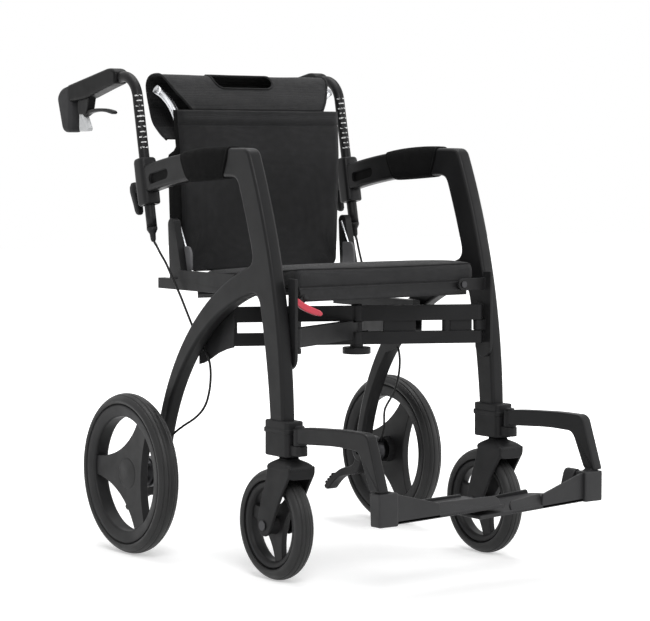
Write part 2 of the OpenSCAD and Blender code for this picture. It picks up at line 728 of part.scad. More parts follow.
// The arm that starts at the right front hinge and passes between the rails of the other
module scissor_single_arm() color(plastic) place()
    translate([-hinge_x, hinge_y, 0]) rotate([0, 0, arm_angle]) {
        pin_top = left_rail_z[1] - 3 - side_gap;
        mid = arm_len / 2;
        difference() {
            union() {
                arm_bar(0, mid - knuckle_half, single_z);
                arm_bar(mid - knuckle_half - 1, mid + knuckle_half + 1, knuckle_z);
                arm_bar(mid + knuckle_half, arm_len, single_z);
                translate([0, 0, single_z[0]]) cylinder(r = eye_r, h = single_z[1] - single_z[0]);
                translate([mid, 0, knuckle_z[0]]) cylinder(r = cross_boss_r, h = knuckle_z[1] - knuckle_z[0]);
                translate([arm_len, 0, single_z[0]]) cylinder(d = arm_w, h = single_z[1] - single_z[0]);
                translate([arm_len, 0, single_z[0]]) cylinder(d = pin_d, h = pin_top - single_z[0]);
            }
            translate([0, 0, single_z[0] - 1]) cylinder(r = pin_d / 2 + fit, h = 100);
            translate([mid, 0, single_z[0] - 1]) cylinder(d = cross_pin_d + 2 * fit, h = 100);
        }
    }

module centre_pin() color(grey) place() translate([0, cross_y, 0]) {
    foot_z = [for (d = [132, 120]) board_z - d];
    translate([0, 0, foot_z[0]]) cylinder(d = 52, h = foot_z[1] - foot_z[0]);
    translate([0, 0, foot_z[1] - 1]) cylinder(r = cross_boss_r, h = double_low[0] - foot_z[1] + 1);
    translate([0, 0, foot_z[1]]) cylinder(d = cross_pin_d, h = double_high[1] - foot_z[1] + 1);
    translate([0, 0, double_high[1]]) cylinder(r = cross_boss_r - 2, h = 3);
}

// Brings children from the seat's own plane, origin at the front of the board's top
module on_seat() {
    translate([0, seat_front, board_z]) rotate([-rake, 0, 0]) children();
}

rail_front = seat_front - 2;
lever_pivot = [notch_x, board_z - 18];
module seat_board() color(plastic) place() {
    board_x = [27 - inner_x, inner_x - 42];
    rail_d = 18;
    rail_h = 25;
    rail_in = 1;
    bracket_t = 4.5;
    board_len = (seat_end_y + bracket_t / 2 - seat_front) / cos(rake);
    difference() {
        union() {
            on_seat() translate([board_x[0], 0, -board_t])
                cube([board_x[1] - board_x[0], board_len, board_t]);
            translate([board_x[0] + rail_in, rail_front, board_z - rail_h])
                cube([board_x[1] - board_x[0] - 2 * rail_in, rail_d, rail_h - 4]);
            translate([flip_x - 15, seat_end_y, flip_z - 26]) cube([30, bracket_t, 36]);
        }
        translate([board_x[0] - 1, notch_y, board_z - 60]) cube([notch_x - board_x[0] + 1, 200, 80]);
        rod_y(flip_x, rail_front - 1, flip_z, flip_pin_d / 2 + fit, rail_d + 2);
        rod_y(flip_x, seat_end_y - 1, flip_z, flip_pin_d / 2 + fit, bracket_t + 2);
        rod_y(lever_pivot[0], rail_front - 1, lever_pivot[1], flip_pin_d / 2 + fit, rail_d + 2);
    }
}

// Points round a rectangle with rounded corners
function round_rect(hx, hy, r, n) = [for (c = [0:3], k = [0:n])
    let (sx = c == 0 || c == 3 ? 1 : -1, sy = c < 2 ? 1 : -1, a = 90 * (c + k / n))
        [sx * (hx - r) + r * cos(a), sy * (hy - r) + r * sin(a)]];

// A closed skin over loops of equal count, stacked from the bottom up
module skinned(loops) {
    m = len(loops[0]);
    top = (len(loops) - 1) * m;
    sides = [for (j = [0:len(loops) - 2], k = [0:m - 1]) let (a = j * m + k, b = j * m + (k + 1) % m)
        each [[a, a + m, b], [b, a + m, b + m]]];
    caps = [for (k = [1:m - 2]) each [[0, k, k + 1], [top, top + k + 1, top + k]]];
    polyhedron([for (l = loops) each l], concat(sides, caps));
}

module seat_cushion() color(fabric) place() {
    half_y = (cushion_rear - seat_front) / 2;
    corner = 14;
    seam = 5;
    t = cushion_t;
    // Each loop's inset from the outline and its height: sides drawn in at the seams, then the crown
    stack = [[seam, 0], [1.5, t * 0.15], [0, t * 0.5], [1.5, t * 0.85], [seam, t],
        [seam + 8, t + crown * 0.3], [45, t + crown * 0.7], [95, t + crown * 0.93], [145, t + crown]];
    difference() {
        on_seat() translate([0, half_y, 0.2])
            skinned([for (s = stack) [for (p = round_rect(cushion_half - s[0], half_y - s[0],
                max(corner - s[0], 3), 6)) [p[0], p[1], s[1]]]]);
        translate([-cushion_half - 20, notch_y, board_z - 80]) cube([notch_x + cushion_half + 20, 300, 200]);
    }
}

module seat_hinge_pins() color(alloy) place() {
    rod_y(flip_x, front_ear_y - 3, flip_z, flip_pin_d / 2, 24);
    rod_y(flip_x, front_ear_y - 3, flip_z, flip_pin_d / 2 + 3, 3);
    rod_y(flip_x, seat_end_y, flip_z, flip_pin_d / 2, rear_ear_y + ear_t - seat_end_y + 2);
}

module release_lever() color(red) place() {
    t = 10;
    y0 = rail_front - side_gap - t;
    front_plate(y0, t) {
        disc2(lever_pivot, 9);
        translate(lever_pivot) polygon([[-2, 9], [20, 2], [52, -16], [48, -26], [14, -18], [-4, -8]]);
    }
    rod_y(lever_pivot[0], y0, lever_pivot[1], flip_pin_d / 2, t + side_gap + 14);
}

// A sheet with thickness: two grids of points, face to face, closed round the rim
module thick_sheet(outer, inner) {
    rows = len(outer);
    n = len(outer[0]);
    half = rows * n;
    skin = [for (j = [0:rows - 2], i = [0:n - 2]) let (a = j * n + i)
        each [[a, a + n, a + 1], [a + 1, a + n, a + n + 1]]];
    back = [for (f = skin) [f[0] + half, f[2] + half, f[1] + half]];
    low = [for (i = [0:n - 2]) each [[i, i + 1, i + half], [i + 1, i + 1 + half, i + half]]];
    t0 = (rows - 1) * n;
    high = [for (i = [0:n - 2]) let (a = t0 + i)
        each [[a, a + half, a + 1], [a + 1, a + half, a + 1 + half]]];
    start = [for (j = [0:rows - 2]) let (a = j * n)
        each [[a, a + half, a + n], [a + n, a + half, a + n + half]]];
    end = [for (j = [0:rows - 2]) let (a = j * n + n - 1)
        each [[a, a + n, a + half], [a + n, a + n + half, a + half]]];
    polyhedron(concat([for (r = outer) each r], [for (r = inner) each r]),
        concat(skin, back, low, high, start, end));
}

// The fabric back: a panel with a slight sag and side returns, and a tuck band along its top
module backrest_panel() color(fabric) place() {
    back_y = 205;
    sag = 8;
    cloth = 8;
    low_z = board_z + 16.5;
    return_top = 742;
    hood_gap = 0.6;
    levels = concat([for (f = [0, 0.1, 0.27, 0.46, 0.65, 0.85]) low_z + f * (return_top - low_z)],
        [return_top, 752, 780, 800, 804, 815, 828]);
    half_at = function (z) inner_x - 44 + (z - low_z) * 0.03;
    front_at = function (z) back_y + max(z - return_top, 0) * 0.09 - (z > 802 && z < 820 ? 3 : 0);
    hood_y = function (z) hood_face[0][0] + (z - hood_face[0][1])
        * (hood_face[1][0] - hood_face[0][0]) / (hood_face[1][1] - hood_face[0][1]);
    return_y = function (z) z > return_top ? min(front_at(z) + 14, hood_y(z) - hood_gap)
        : front_at(z) + 45;
    corner_at = function (z) z > return_top ? 2 : 5;
    dip = function (z, u) z > return_top ? 0
        : sag * sin(180 * (z - low_z) / (return_top - low_z)) * (1 - u * u);
    row = function (z, inset) let (h = half_at(z) - inset, y = front_at(z) + inset,
        r = return_y(z), c = corner_at(z)) concat([[-h, r, z], [-h, y + c, z]],
            [for (u = [-1:0.2:1.01]) [(h - 5) * u, y + dip(z, u), z]],
            [[h, y + c, z], [h, r, z]]);
    thick_sheet([for (z = levels) row(z, 0)], [for (z = levels) row(z, cloth)]);
}

// The hood over the tops of the back tubes, open at both ends, with a slot for a hand
module backrest_hood() color(fabric) place() {
    half = inner_x - 34;
    slot_half = 57;
    slot_z = 873;
    difference() {
        side_plate(-half, 2 * half) difference() {
            polygon([hood_face[0], hood_face[1], [250, 868], [262, 888], [270, 897], [281, 897], [292, 890],
                [308, 860], [304, 830], [286, 800], [262, 752]]);
            polygon([[223, 751], [232, 830], [256, 863], [272, 886], [278, 886], [287, 880], [300, 857],
                [297, 832], [279, 802], [256, 751]]);
        }
        translate([-slot_half, 200, slot_z]) cube([2 * slot_half, 76, 40]);
    }
}

front_leg(left);  // left_front_leg
front_leg(right);  // right_front_leg
armrest(left);  // left_armrest
armrest(right);  // right_armrest
armrest_sleeve(left);  // left_armrest_sleeve
armrest_sleeve(right);  // right_armrest_sleeve
rear_arch(left);  // left_rear_arch
rear_arch(right);  // right_rear_arch
hinge_bracket(left);  // left_hinge_bracket
hinge_bracket(right);  // right_hinge_bracket
back_post(left);  // left_back_post
back_post(right);  // right_back_post
back_tube(left);  // left_back_tube
back_tube(right);  // right_back_tube
footrest_holder(left);  // left_footrest_holder
footrest_holder(right);  // right_footrest_holder
rear_axle(left);  // left_rear_axle
rear_axle(right);  // right_rear_axle
step_pedal(left);  // left_step_pedal
step_pedal(right);  // right_step_pedal
brake_cable(left);  // left_brake_cable
brake_cable(right);  // right_brake_cable
caster_fork(left);  // left_caster_fork
caster_fork(right);  // right_caster_fork
caster_axle(left);  // left_caster_axle
caster_axle(right);  // right_caster_axle
caster_rim(left);  // left_caster_rim
caster_rim(right);  // right_caster_rim
caster_tyre(left);  // left_caster_tyre
caster_tyre(right);  // right_caster_tyre
rear_rim(left);  // left_rear_rim
rear_rim(right);  // right_rear_rim
rear_tyre(left);  // left_rear_tyre
rear_tyre(right);  // right_rear_tyre
rear_bearings(left);  // left_rear_bearings
rear_bearings(right);  // right_rear_bearings
handle_tube(left);  // left_handle_tube
handle_tube(right);  // right_handle_tube
handle_body(left);  // left_handle_body
handle_body(right);  // right_handle_body
hand_grip(left);  // left_hand_grip
hand_grip(right);  // right_hand_grip
brake_lever(left);  // left_brake_lever
brake_lever(right);  // right_brake_lever
clamp_lever(left);  // left_clamp_lever
clamp_lever(right);  // right_clamp_lever
footrest_hanger(left);  // left_footrest_hanger
footrest_hanger(right);  // right_footrest_hanger
footplate(left);  // left_footplate
footplate(right);  // right_footplate
scissor_double_arm();
scissor_single_arm();
centre_pin();
seat_board();
seat_cushion();
seat_hinge_pins();
backrest_panel();
backrest_hood();
release_lever();
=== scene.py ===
from math import asin, atan2, copysign, cos, dist, exp, pi, radians, sin, sqrt
from types import SimpleNamespace

import bmesh
import bpy
import numpy as np
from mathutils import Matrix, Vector, noise
from mathutils.bvhtree import BVHTree
from numpy import linspace
from numpy.linalg import norm


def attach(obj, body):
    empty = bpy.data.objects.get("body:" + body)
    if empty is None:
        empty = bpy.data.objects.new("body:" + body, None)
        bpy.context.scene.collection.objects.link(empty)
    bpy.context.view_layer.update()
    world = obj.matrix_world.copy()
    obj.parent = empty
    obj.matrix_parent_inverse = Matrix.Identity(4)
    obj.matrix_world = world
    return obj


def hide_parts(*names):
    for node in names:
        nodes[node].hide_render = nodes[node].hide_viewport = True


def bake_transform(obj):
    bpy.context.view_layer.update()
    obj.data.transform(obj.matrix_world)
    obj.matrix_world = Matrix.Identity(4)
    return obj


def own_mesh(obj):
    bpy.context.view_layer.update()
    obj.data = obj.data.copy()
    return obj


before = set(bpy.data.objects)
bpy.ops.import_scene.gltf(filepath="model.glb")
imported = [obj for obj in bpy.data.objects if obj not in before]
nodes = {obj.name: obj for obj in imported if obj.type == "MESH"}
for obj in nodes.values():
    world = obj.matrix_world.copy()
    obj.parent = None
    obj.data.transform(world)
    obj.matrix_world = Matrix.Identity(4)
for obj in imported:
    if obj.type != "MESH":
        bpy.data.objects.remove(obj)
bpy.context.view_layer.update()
scene = bpy.context.scene
scene.view_settings.view_transform = "Standard"

# Lengths below are millimetres in the part's own drawing frame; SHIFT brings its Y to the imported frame
MM = 0.001
SHIFT = -36.5
SIDES = {"left": 1, "right": -1}
X, Y, Z = range(3)


def at(x, y, z):
    return Vector((x, y + SHIFT, z)) * MM


def given(thing, **settings):
    """The thing itself, with its settings made."""
    for key, value in settings.items():
        setattr(thing, key, value)
    return thing


def added(name, data):
    """A new object in the scene."""
    made = bpy.data.objects.new(name, data)
    scene.collection.objects.link(made)
    return made


def aimed(name, data, place, aim):
    """A camera or lamp at a place, turned towards a point."""
    turn = (Vector(aim) - Vector(place)).to_track_quat("-Z", "Y")
    return given(added(name, data), location=place, rotation_mode="QUATERNION", rotation_quaternion=turn)


def modifier(obj, kind, **settings):
    return given(obj.modifiers.new(kind.lower(), kind), **settings)


# Camera, fitted to the photograph's view of a 650 x 621 frame
AZIMUTH, ELEVATION, DISTANCE = radians(-35.651), radians(4.041), 4.2631
TARGET = at(0, 0, 450)
level = cos(ELEVATION)
back = Vector((sin(AZIMUTH) * level, -cos(AZIMUTH) * level, sin(ELEVATION)))
lens = given(bpy.data.cameras.new("camera"), sensor_width=36, lens=126.48, shift_x=0.00034, shift_y=0.0027)
scene.camera = aimed("camera", lens, TARGET + back * DISTANCE, TARGET)


# Materials
class Nodes:
    """A node tree that is built up node by node."""

    def __init__(self, owner):
        owner.use_nodes = True
        self.tree = owner.node_tree

    def node(self, kind, inputs=(), **settings):
        """A new node; each input is linked to a socket or set to a constant."""
        made = given(self.tree.nodes.new(f"ShaderNode{kind}"), **settings)
        for key, value in dict(inputs).items():
            if isinstance(value, bpy.types.NodeSocket):
                self.tree.links.new(value, made.inputs[key])
            else:
                made.inputs[key].default_value = value
        return made

    def remap(self, value, low, high, out_low, out_high, **settings):
        limits = {"From Min": low, "From Max": high, "To Min": out_low, "To Max": out_high}
        return self.node("MapRange", {"Value": value, **limits}, **settings).outputs["Result"]

    def math(self, operation, a, b):
        return self.node("Math", {0: a, 1: b}, operation=operation).outputs[0]

    def seen_directly(self):
        """1 for camera rays and glossy rays, 0 for the light that falls on the object."""
        rays = self.node("LightPath").outputs
        return self.math("MAXIMUM", rays["Is Camera Ray"], rays["Is Glossy Ray"])


class Shader(Nodes):
    """A principled material."""

    def __init__(self, name, metallic=0.0, specular=0.5, sheen=0.0, coat=0.0):
        self.made = bpy.data.materials.new(name)
        super().__init__(self.made)
        self.bsdf = self.tree.nodes["Principled BSDF"].inputs
        values = {"Metallic": metallic, "Specular IOR Level": specular, "Sheen Weight": sheen, "Sheen Roughness": 0.5,
                  "Coat Weight": coat, "Coat Roughness": 0.15}
        for socket, value in values.items():
            self.bsdf[socket].default_value = value
        self.coords = self.node("TexCoord").outputs["Object"]

    def noise(self, scale, detail=3.0, vector=None):
        inputs = {"Scale": scale, "Detail": detail, "Vector": vector or self.coords}
        return self.node("TexNoise", inputs).outputs["Fac"]

    def ramp(self, value, low, high):
        """A colour that goes from low to high over the middle of a noise."""
        made = self.node("ValToRGB", {"Fac": value})
        for spot, place, color in zip(made.color_ramp.elements, (0.3, 0.7), (low, high)):
            given(spot, position=place, color=(*color, 1))
        return made.outputs["Color"]

    def mix(self, share, a, b):
        """A colour between link a and the constant b."""
        return self.node("Mix", {0: share, 6: a, 7: (*b, 1)}, data_type="RGBA").outputs[2]

    def waves(self, period_mm):
        """Threads along all three axes: the sum of one sine per axis, from -3 to 3."""
        scale = 2 * pi / (period_mm * MM)
        scaled = self.node("VectorMath", {0: self.coords, "Scale": scale}, operation="SCALE")
        sines = self.node("VectorMath", {0: scaled.outputs[0]}, operation="SINE")
        return self.node("VectorMath", {0: sines.outputs[0], 1: (1, 1, 1)}, operation="DOT_PRODUCT").outputs["Value"]

    def finished(self, color, rough, *heights):
        """The material with its colour, its roughness and its bumps, each a height and a depth in mm."""
        normal = {}
        for height, depth in heights:
            inputs = {"Strength": 1, "Distance": depth * MM, "Height": height, **normal}
            normal = {"Normal": self.node("Bump", inputs).outputs["Normal"]}
        for socket, value in {"Base Color": color, "Roughness": rough, **normal}.items():
            self.tree.links.new(value, self.bsdf[socket])
        return self.made


def shade(color, k):
    return tuple(min(1, c * k) for c in color)


def coated(name, color, rough, grain_mm, depth, specular=0.5, worn=0.0, coat=0.0):
    """Paint, moulded plastic or rubber: slow mottling, a fine grain, dull and shiny patches, lighter edges."""
    s = Shader(name, specular=specular, coat=coat)
    base = s.ramp(s.noise(14), shade(color, 0.85), shade(color, 1.15))
    if worn:
        edge = s.remap(s.node("NewGeometry").outputs["Pointiness"], 0.52, 0.6, 0, worn)
        base = s.mix(s.math("MULTIPLY", edge, s.noise(90)), base, shade(color, 4))
    patches = s.remap(s.noise(35), 0.3, 0.7, rough - 0.06, rough + 0.06)
    return s.finished(base, patches, (s.noise(1 / (grain_mm * MM), 2), depth))


def cloth(name, color, thread_mm, depth, sheen=0.1, holes_mm=0.0, specular=0.2):
    """Woven cloth: a grid of threads, darker between them as painted shade, slow changes of tone and, for mesh, rows
    of holes painted near-black as painted shade.
    """
    s = Shader(name, specular=specular, sheen=sheen)
    slow = s.ramp(s.noise(9, 4), shade(color, 0.82), shade(color, 1.18))
    threads = s.waves(thread_mm)
    # painted shade: darker where the threads dip
    base = s.mix(s.remap(threads, -1.5, 1.5, 0.25, 0), slow, shade(color, 0.35))
    heights = [(threads, depth), (s.noise(30), 0.5)]
    if holes_mm:
        holes = s.remap(s.waves(holes_mm), 0.7, 1.1, 0, 1)
        # painted shade: the holes near-black
        base = s.mix(holes, base, shade(color, 0.08))
        heights.append((s.math("MULTIPLY", holes, -1), 0.5))
    return s.finished(base, s.remap(s.noise(60), 0.3, 0.7, 0.8, 0.95), *heights)


def metal(name, color, rough):
    """Drawn or brushed metal: streaks that run along Z."""
    s = Shader(name, metallic=1.0)
    stretch = s.node("Mapping", {"Scale": (1, 1, 0.04), "Vector": s.coords})
    streaks = s.noise(900, 2, stretch.outputs[0])
    base = s.ramp(streaks, shade(color, 0.88), color)
    return s.finished(base, s.remap(streaks, 0.3, 0.7, rough - 0.07, rough + 0.07), (streaks, 0.02))


paint = coated("satin_paint", (0.0088, 0.0088, 0.0093), 0.42, 0.5, 0.012, 0.16, worn=0.5)
plastic = coated("moulded_plastic", (0.0105, 0.0105, 0.011), 0.5, 0.7, 0.03, 0.16, worn=0.5)
rim_plastic = coated("wheel_plastic", (0.012, 0.012, 0.0125), 0.48, 0.6, 0.02, 0.2, worn=0.3)
tyre_rubber = coated("tyre_rubber", (0.0095, 0.0095, 0.0097), 0.5, 1.1, 0.05, 0.35)
cable_rubber = coated("cable_sleeve", (0.006, 0.006, 0.006), 0.4, 0.8, 0.01, 0.2)
pocket_black = coated("pocket_black", (0.002, 0.002, 0.002), 0.7, 0.7, 0.02, 0.1)
dark_plastic = coated("dark_plastic", (0.0035, 0.0035, 0.0037), 0.45, 0.7, 0.03, 0.12)
deck_plastic = coated("deck_plastic", (0.017, 0.017, 0.0178), 0.5, 0.7, 0.03, 0.25, worn=0.5)
grip_rubber = coated("grip_rubber", (0.026, 0.026, 0.0275), 0.62, 0.8, 0.06, 0.2)
lever_paint = coated("lever_finish", (0.6, 0.61, 0.62), 0.34, 0.5, 0.01)
grey_plastic = coated("grey_plastic", (0.12, 0.12, 0.125), 0.5, 0.7, 0.02, 0.3)
red_plastic = coated("red_plastic", (0.5, 0.026, 0.05), 0.3, 0.8, 0.01, 0.4, coat=0.2)
white_ink = coated("white_ink", (0.7, 0.7, 0.7), 0.5, 0.4, 0.01)
upholstery = cloth("upholstery", (0.0125, 0.0125, 0.0133), 1.3, 0.12)
seat_cloth = cloth("seat_cloth", (0.021, 0.021, 0.022), 1.3, 0.12)
# the sleeve cloth is also the painted shade on the back panel's side returns
sleeve_cloth_and_return_shade = cloth("sleeve_cloth_and_return_shade", (0.0032, 0.0032, 0.0034), 0.9, 0.08, sheen=0.03, specular=0.04)
mesh_cloth = cloth("mesh_cloth", (0.009, 0.009, 0.0095), 0.9, 0.08, sheen=0.05, holes_mm=5.2)
seam_thread = cloth("seam_thread", (0.007, 0.007, 0.0075), 0.6, 0.05, sheen=0.05)
alloy = metal("drawn_alloy", (0.62, 0.63, 0.65), 0.3)
dark_steel = metal("dark_steel", (0.06, 0.06, 0.063), 0.42)


# Building pieces. A part is a pair of lists, points in millimetres and faces, drawn on the left side
def solid_mesh(name, part, side, smooth):
    """A mesh with its faces turned outwards; side -1 mirrors it to the right."""
    mesh = bpy.data.meshes.new(name)
    mesh.from_pydata([at(side * x, y, z) for x, y, z in part[0]], [], part[1])
    work = bmesh.new()
    work.from_mesh(mesh)
    bmesh.ops.remove_doubles(work, verts=work.verts, dist=1e-6)
    bmesh.ops.recalc_face_normals(work, faces=work.faces)
    for face in work.faces:
        face.smooth = smooth
    work.to_mesh(mesh)
    work.free()
    return mesh


def piece(name, part, mat, body, slot, *stands_for, subdivide=0, side=1, flat=False):
    """A piece that rides on a body, or on none yet, and shows instead of the nodes that it stands for."""
    made = added(name, solid_mesh(name, part, side, not flat))
    made.data.materials.append(mat)
    if subdivide:
        modifier(made, "SUBSURF", levels=subdivide, render_levels=subdivide)
    if not flat:
        modifier(made, "WEIGHTED_NORMAL")
    if body:
        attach(made, body)
    if stands_for:
        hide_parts(*stands_for)
    return made


def pair(name, part, mat, body, slot, *stands_for, **more):
    """The same piece on both sides, by side; its name, body and nodes begin with the side's name."""
    return {side: piece(f"{side}_{name}", part, mat, body and f"{side}_{body}", slot,
                        *[f"{side}_{node}" for node in stands_for], side=s, **more) for side, s in SIDES.items()}


def skin(rings, round_trip=False):
    """Faces over closed rings of equal count; round_trip joins the last ring to the first, without caps."""
    n, m = len(rings[0]), len(rings)
    verts = [p for ring in rings for p in ring]
    faces = []
    for j in range(m if round_trip else m - 1):
        a, b = j * n, (j + 1) % m * n
        faces += [(a + k, a + (k + 1) % n, b + (k + 1) % n, b + k) for k in range(n)]
    if not round_trip:
        faces += [tuple(range(n)), tuple(range((m - 1) * n, m * n))]
    return verts, faces


def merged(*parts):
    verts, faces = [], []
    for v, f in parts:
        faces += [tuple(i + len(verts) for i in face) for face in f]
        verts += list(v)
    return verts, faces


def inset(loop, d):
    """A closed outline moved inwards by d."""
    p = np.asarray(loop, float)
    e = np.roll(p, -1, 0) - p
    e /= np.maximum(norm(e, axis=1), 1e-9)[:, None]
    area = np.sum(p[:, 0] * np.roll(p[:, 1], -1) - np.roll(p[:, 0], -1) * p[:, 1])
    n2 = np.stack([-e[:, 1], e[:, 0]], 1) * (1 if area > 0 else -1)
    n1 = np.roll(n2, 1, 0)
    mid = n1 + n2
    mid /= np.maximum(norm(mid, axis=1), 1e-6)[:, None]
    return p + mid * (d / np.maximum((mid * n1).sum(1), 0.55))[:, None]


def axial(axis, a, p, q):
    """A point with its coordinate a on one axis, and p and q on the other two in order."""
    return ((a, p, q), (p, a, q), (p, q, a))[axis]


def plate(outline, a0, a1, r, steps=4, axis=X):
    """An outline over a thickness along one axis, with all its edges rounded."""
    rings = []
    for i in range(steps + 1):
        t = pi / 2 * i / steps
        a, loop = a0 + r * (1 - cos(t)), inset(outline, r * (1 - sin(t)))
        rings.append([(a, p, q) for p, q in loop])
    rings += [[(a0 + a1 - a, p, q) for a, p, q in ring] for ring in reversed(rings)]
    return skin([[axial(axis, *point) for point in ring] for ring in rings])


def trimmed(line, d, at_end):
    """A polyline shortened by a length d at one end."""
    p = [np.asarray(q, float) for q in (line[::-1] if at_end else line)]
    while len(p) > 2 and norm(p[1] - p[0]) <= d:
        d -= norm(p[1] - p[0])
        p.pop(0)
    step = norm(p[1] - p[0])
    p[0] = p[0] + (p[1] - p[0]) * min(d / step, 0.9)
    return p[::-1] if at_end else p


def softened(lines, reaches, steps=6):
    """Lines joined into one closed outline; reaches rounds the corner after each line."""
    count = len(lines)
    cut = [trimmed(trimmed(lines[i], reaches[i], True), reaches[i - 1], False) for i in range(count)]
    out = []
    for i in range(count):
        if not reaches[i]:
            out += cut[i][:-1]
            continue
        out += cut[i]
        a, b, corner = cut[i][-1], cut[(i + 1) % count][0], np.asarray(lines[i][-1], float)
        out += [(1 - t) ** 2 * a + 2 * t * (1 - t) * corner + t * t * b for t in np.arange(1, steps) / steps]
    return out


def rounded(points, r):
    """A polygon with its corners rounded over a length r, or one length per corner."""
    n = len(points)
    reaches = [r] * n if isinstance(r, (int, float)) else list(r)
    lines = [[points[i], points[(i + 1) % n]] for i in range(n)]
    limit = [dist(*line) * 0.48 for line in lines]
    return softened(lines, [min(reaches[(i + 1) % n], limit[i], limit[(i + 1) % n]) for i in range(n)])


def box(p0, p1, q0, q1, r):
    return rounded([(p0, q0), (p1, q0), (p1, q1), (p0, q1)], r)


def compass(n, start=0.0):
    """Unit directions all the way round; start is the first one's place in steps."""
    return [(cos(a), sin(a)) for a in 2 * pi * (np.arange(n) + start) / n]


def lathe(profile, centre, n=144, axis=X):
    """A closed profile of (distance along the axis, radius) turned about an axis through centre."""
    rings = []
    for a, r in profile:
        turn = [axial(axis, a, r * c, r * d) for c, d in compass(n)]
        rings.append([tuple(c + d for c, d in zip(centre, point)) for point in turn])
    return skin(rings, True)


def shaped(part, move):
    """A part's points put through a function."""
    return [move(*v) for v in part[0]], part[1]


def smooth_line(points, step):
    """A Catmull-Rom line through the points, resampled about every step."""
    p = [np.asarray(q, float) for q in points]
    p = [2 * p[0] - p[1], *p, 2 * p[-1] - p[-2]]
    out = []
    for i in range(1, len(p) - 2):
        a, b, c, d = p[i - 1:i + 3]
        count = max(1, round(norm(c - b) / step))
        for t in np.arange(count) / count:
            out.append(0.5 * (2 * b + (c - a) * t + (2 * a - 5 * b + 4 * c - d) * t ** 2
                              + (3 * b - a - 3 * c + d) * t ** 3))
    return out + [p[-2]]


def tube(line, r, sides=16, closed=False):
    """A round tube along a line of points, with no twist."""
    p = [Vector(q) for q in line]
    n = len(p)
    near = [(i - 1, (i + 1) % n) if closed else (max(i - 1, 0), min(i + 1, n - 1)) for i in range(n)]
    runs = [(p[b] - p[a]).normalized() for a, b in near]
    u = runs[0].orthogonal().normalized()
    rings = []
    for spot, run in zip(p, runs):
        u = (u - run * u.dot(run)).normalized()
        v = run.cross(u)
        rings.append([spot + r * (c * u + d * v) for c, d in compass(sides)])
    return skin(rings, closed)


def baked(obj):
    """A new mesh with the object's modifiers applied."""
    bpy.context.view_layer.update()
    return bpy.data.meshes.new_from_object(obj.evaluated_get(bpy.context.evaluated_depsgraph_get()))


def cut_away(obj, part, side):
    """Takes a solid out of a piece."""
    cutter = added("cutter", solid_mesh("cutter", part, side, False))
    work = added("work", obj.data)
    modifier(work, "BOOLEAN", object=cutter, solver="EXACT")
    obj.data = baked(work)
    for helper in (work, cutter):
        bpy.data.objects.remove(helper)


def recolor(mesh, mat):
    mesh.materials.clear()
    mesh.materials.append(mat)


smooth_group = bpy.data.node_groups.new("smooth_shading", "GeometryNodeTree")
for way in ("INPUT", "OUTPUT"):
    smooth_group.interface.new_socket("Geometry", in_out=way, socket_type="NodeSocketGeometry")
group_in, set_smooth, group_out = [smooth_group.nodes.new(kind) for kind in (
    "NodeGroupInput", "GeometryNodeSetShadeSmooth", "NodeGroupOutput")]
smooth_group.links.new(group_in.outputs[0], set_smooth.inputs[0])
smooth_group.links.new(set_smooth.outputs[0], group_out.inputs[0])


def dress(node, mat, bevel):
    """Gives a carried-over node its material and breaks its edges."""
    o = nodes[node]
    recolor(o.data, mat)
    modifier(o, "WELD", merge_threshold=2e-5)
    modifier(o, "DECIMATE", decimate_type="DISSOLVE", angle_limit=radians(0.4))
    if bevel:
        modifier(o, "BEVEL", width=bevel * MM, segments=3, limit_method="ANGLE", angle_limit=radians(38),
                 miter_outer="MITER_ARC")
    modifier(o, "NODES", node_group=smooth_group)
    modifier(o, "WEIGHTED_NORMAL")


# Brake cables first: one free run each, from the handle tube's end to the hub brake
TUBE_FOOT, TUBE_LEAN, LEG_X = (226, 591), radians(11.35), 236
TUBE_DIR = (sin(TUBE_LEAN), cos(TUBE_LEAN))
AXLE, DRUM_R, DRUM_X, CABLE_D = (197.447, 150), 29, 262, 4.5
DRUM_SIDE = (-cos(radians(45)), sin(radians(45)))
CABLE_HELD = (219.5, 134, 452)


def along(start, direction, d):
    return start[0] + d * direction[0], start[1] + d * direction[1]


CABLE = [(LEG_X, *along(TUBE_FOOT, TUBE_DIR, -d)) for d in (0, 8)]
CABLE += [
    (234, 216, 572), (231, 207, 558), (227, 195, 541), (224, 182, 520), (222, 168, 500), (220.5, 152, 478),
    CABLE_HELD, (218.5, 114, 424), (218.5, 96, 403), (218.5, 78, 388), (218.5, 62, 372), (218.5, 55, 352),
    (218.5, 55, 330), (218.5, 60, 308), (219, 70, 286), (221, 86, 268), (226, 104, 254), (234, 122, 242),
    (244, 138, 228), (253, 150, 212), (259, 159, 198)
]
CABLE += [(DRUM_X, *along(AXLE, DRUM_SIDE, DRUM_R + d)) for d in (8, 0.1)]
cable_line = smooth_line(CABLE, 6)
cables = pair("cable", tube(cable_line, CABLE_D / 2, 12), cable_rubber, None, "rubber", "brake_cable")
for side, cable in cables.items():
    s = SIDES[side]
    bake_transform(cable)

# Side frames: leg, armrest and rear arch in one; each edge is an arc with a centre (y, z) and a radius
LEG_FRONT, LEG_REAR = ((981, 255), 1205), ((1194, 169), 1380)
ARCH_UP, ARCH_LOW = ((-257, 102), 468), ((-227, 95), 417)
ARM_C, ARM_TOP, ARM_LOW = (-60, -632), 1388, 1336
ARM_END_TOP, ARM_END_LOW, LEG_FOOT = 241, 231, 264
BOSS_R, BOSS_JOIN, BOSS_GAP = 21, 178, 0.25
IN_X, OUT_X = 222, 250
ARM_MID, ARM_HALF_X, ARM_HALF_Z = (ARM_TOP + ARM_LOW) / 2, (OUT_X - IN_X) / 2, (ARM_TOP - ARM_LOW) / 2


def arc_y(c, r, zs, sign):
    return [(c[0] + sign * sqrt(r * r - (z - c[1]) ** 2), z) for z in zs]


def arm_z(y, r):
    return ARM_C[1] + sqrt(r * r - (y - ARM_C[0]) ** 2)


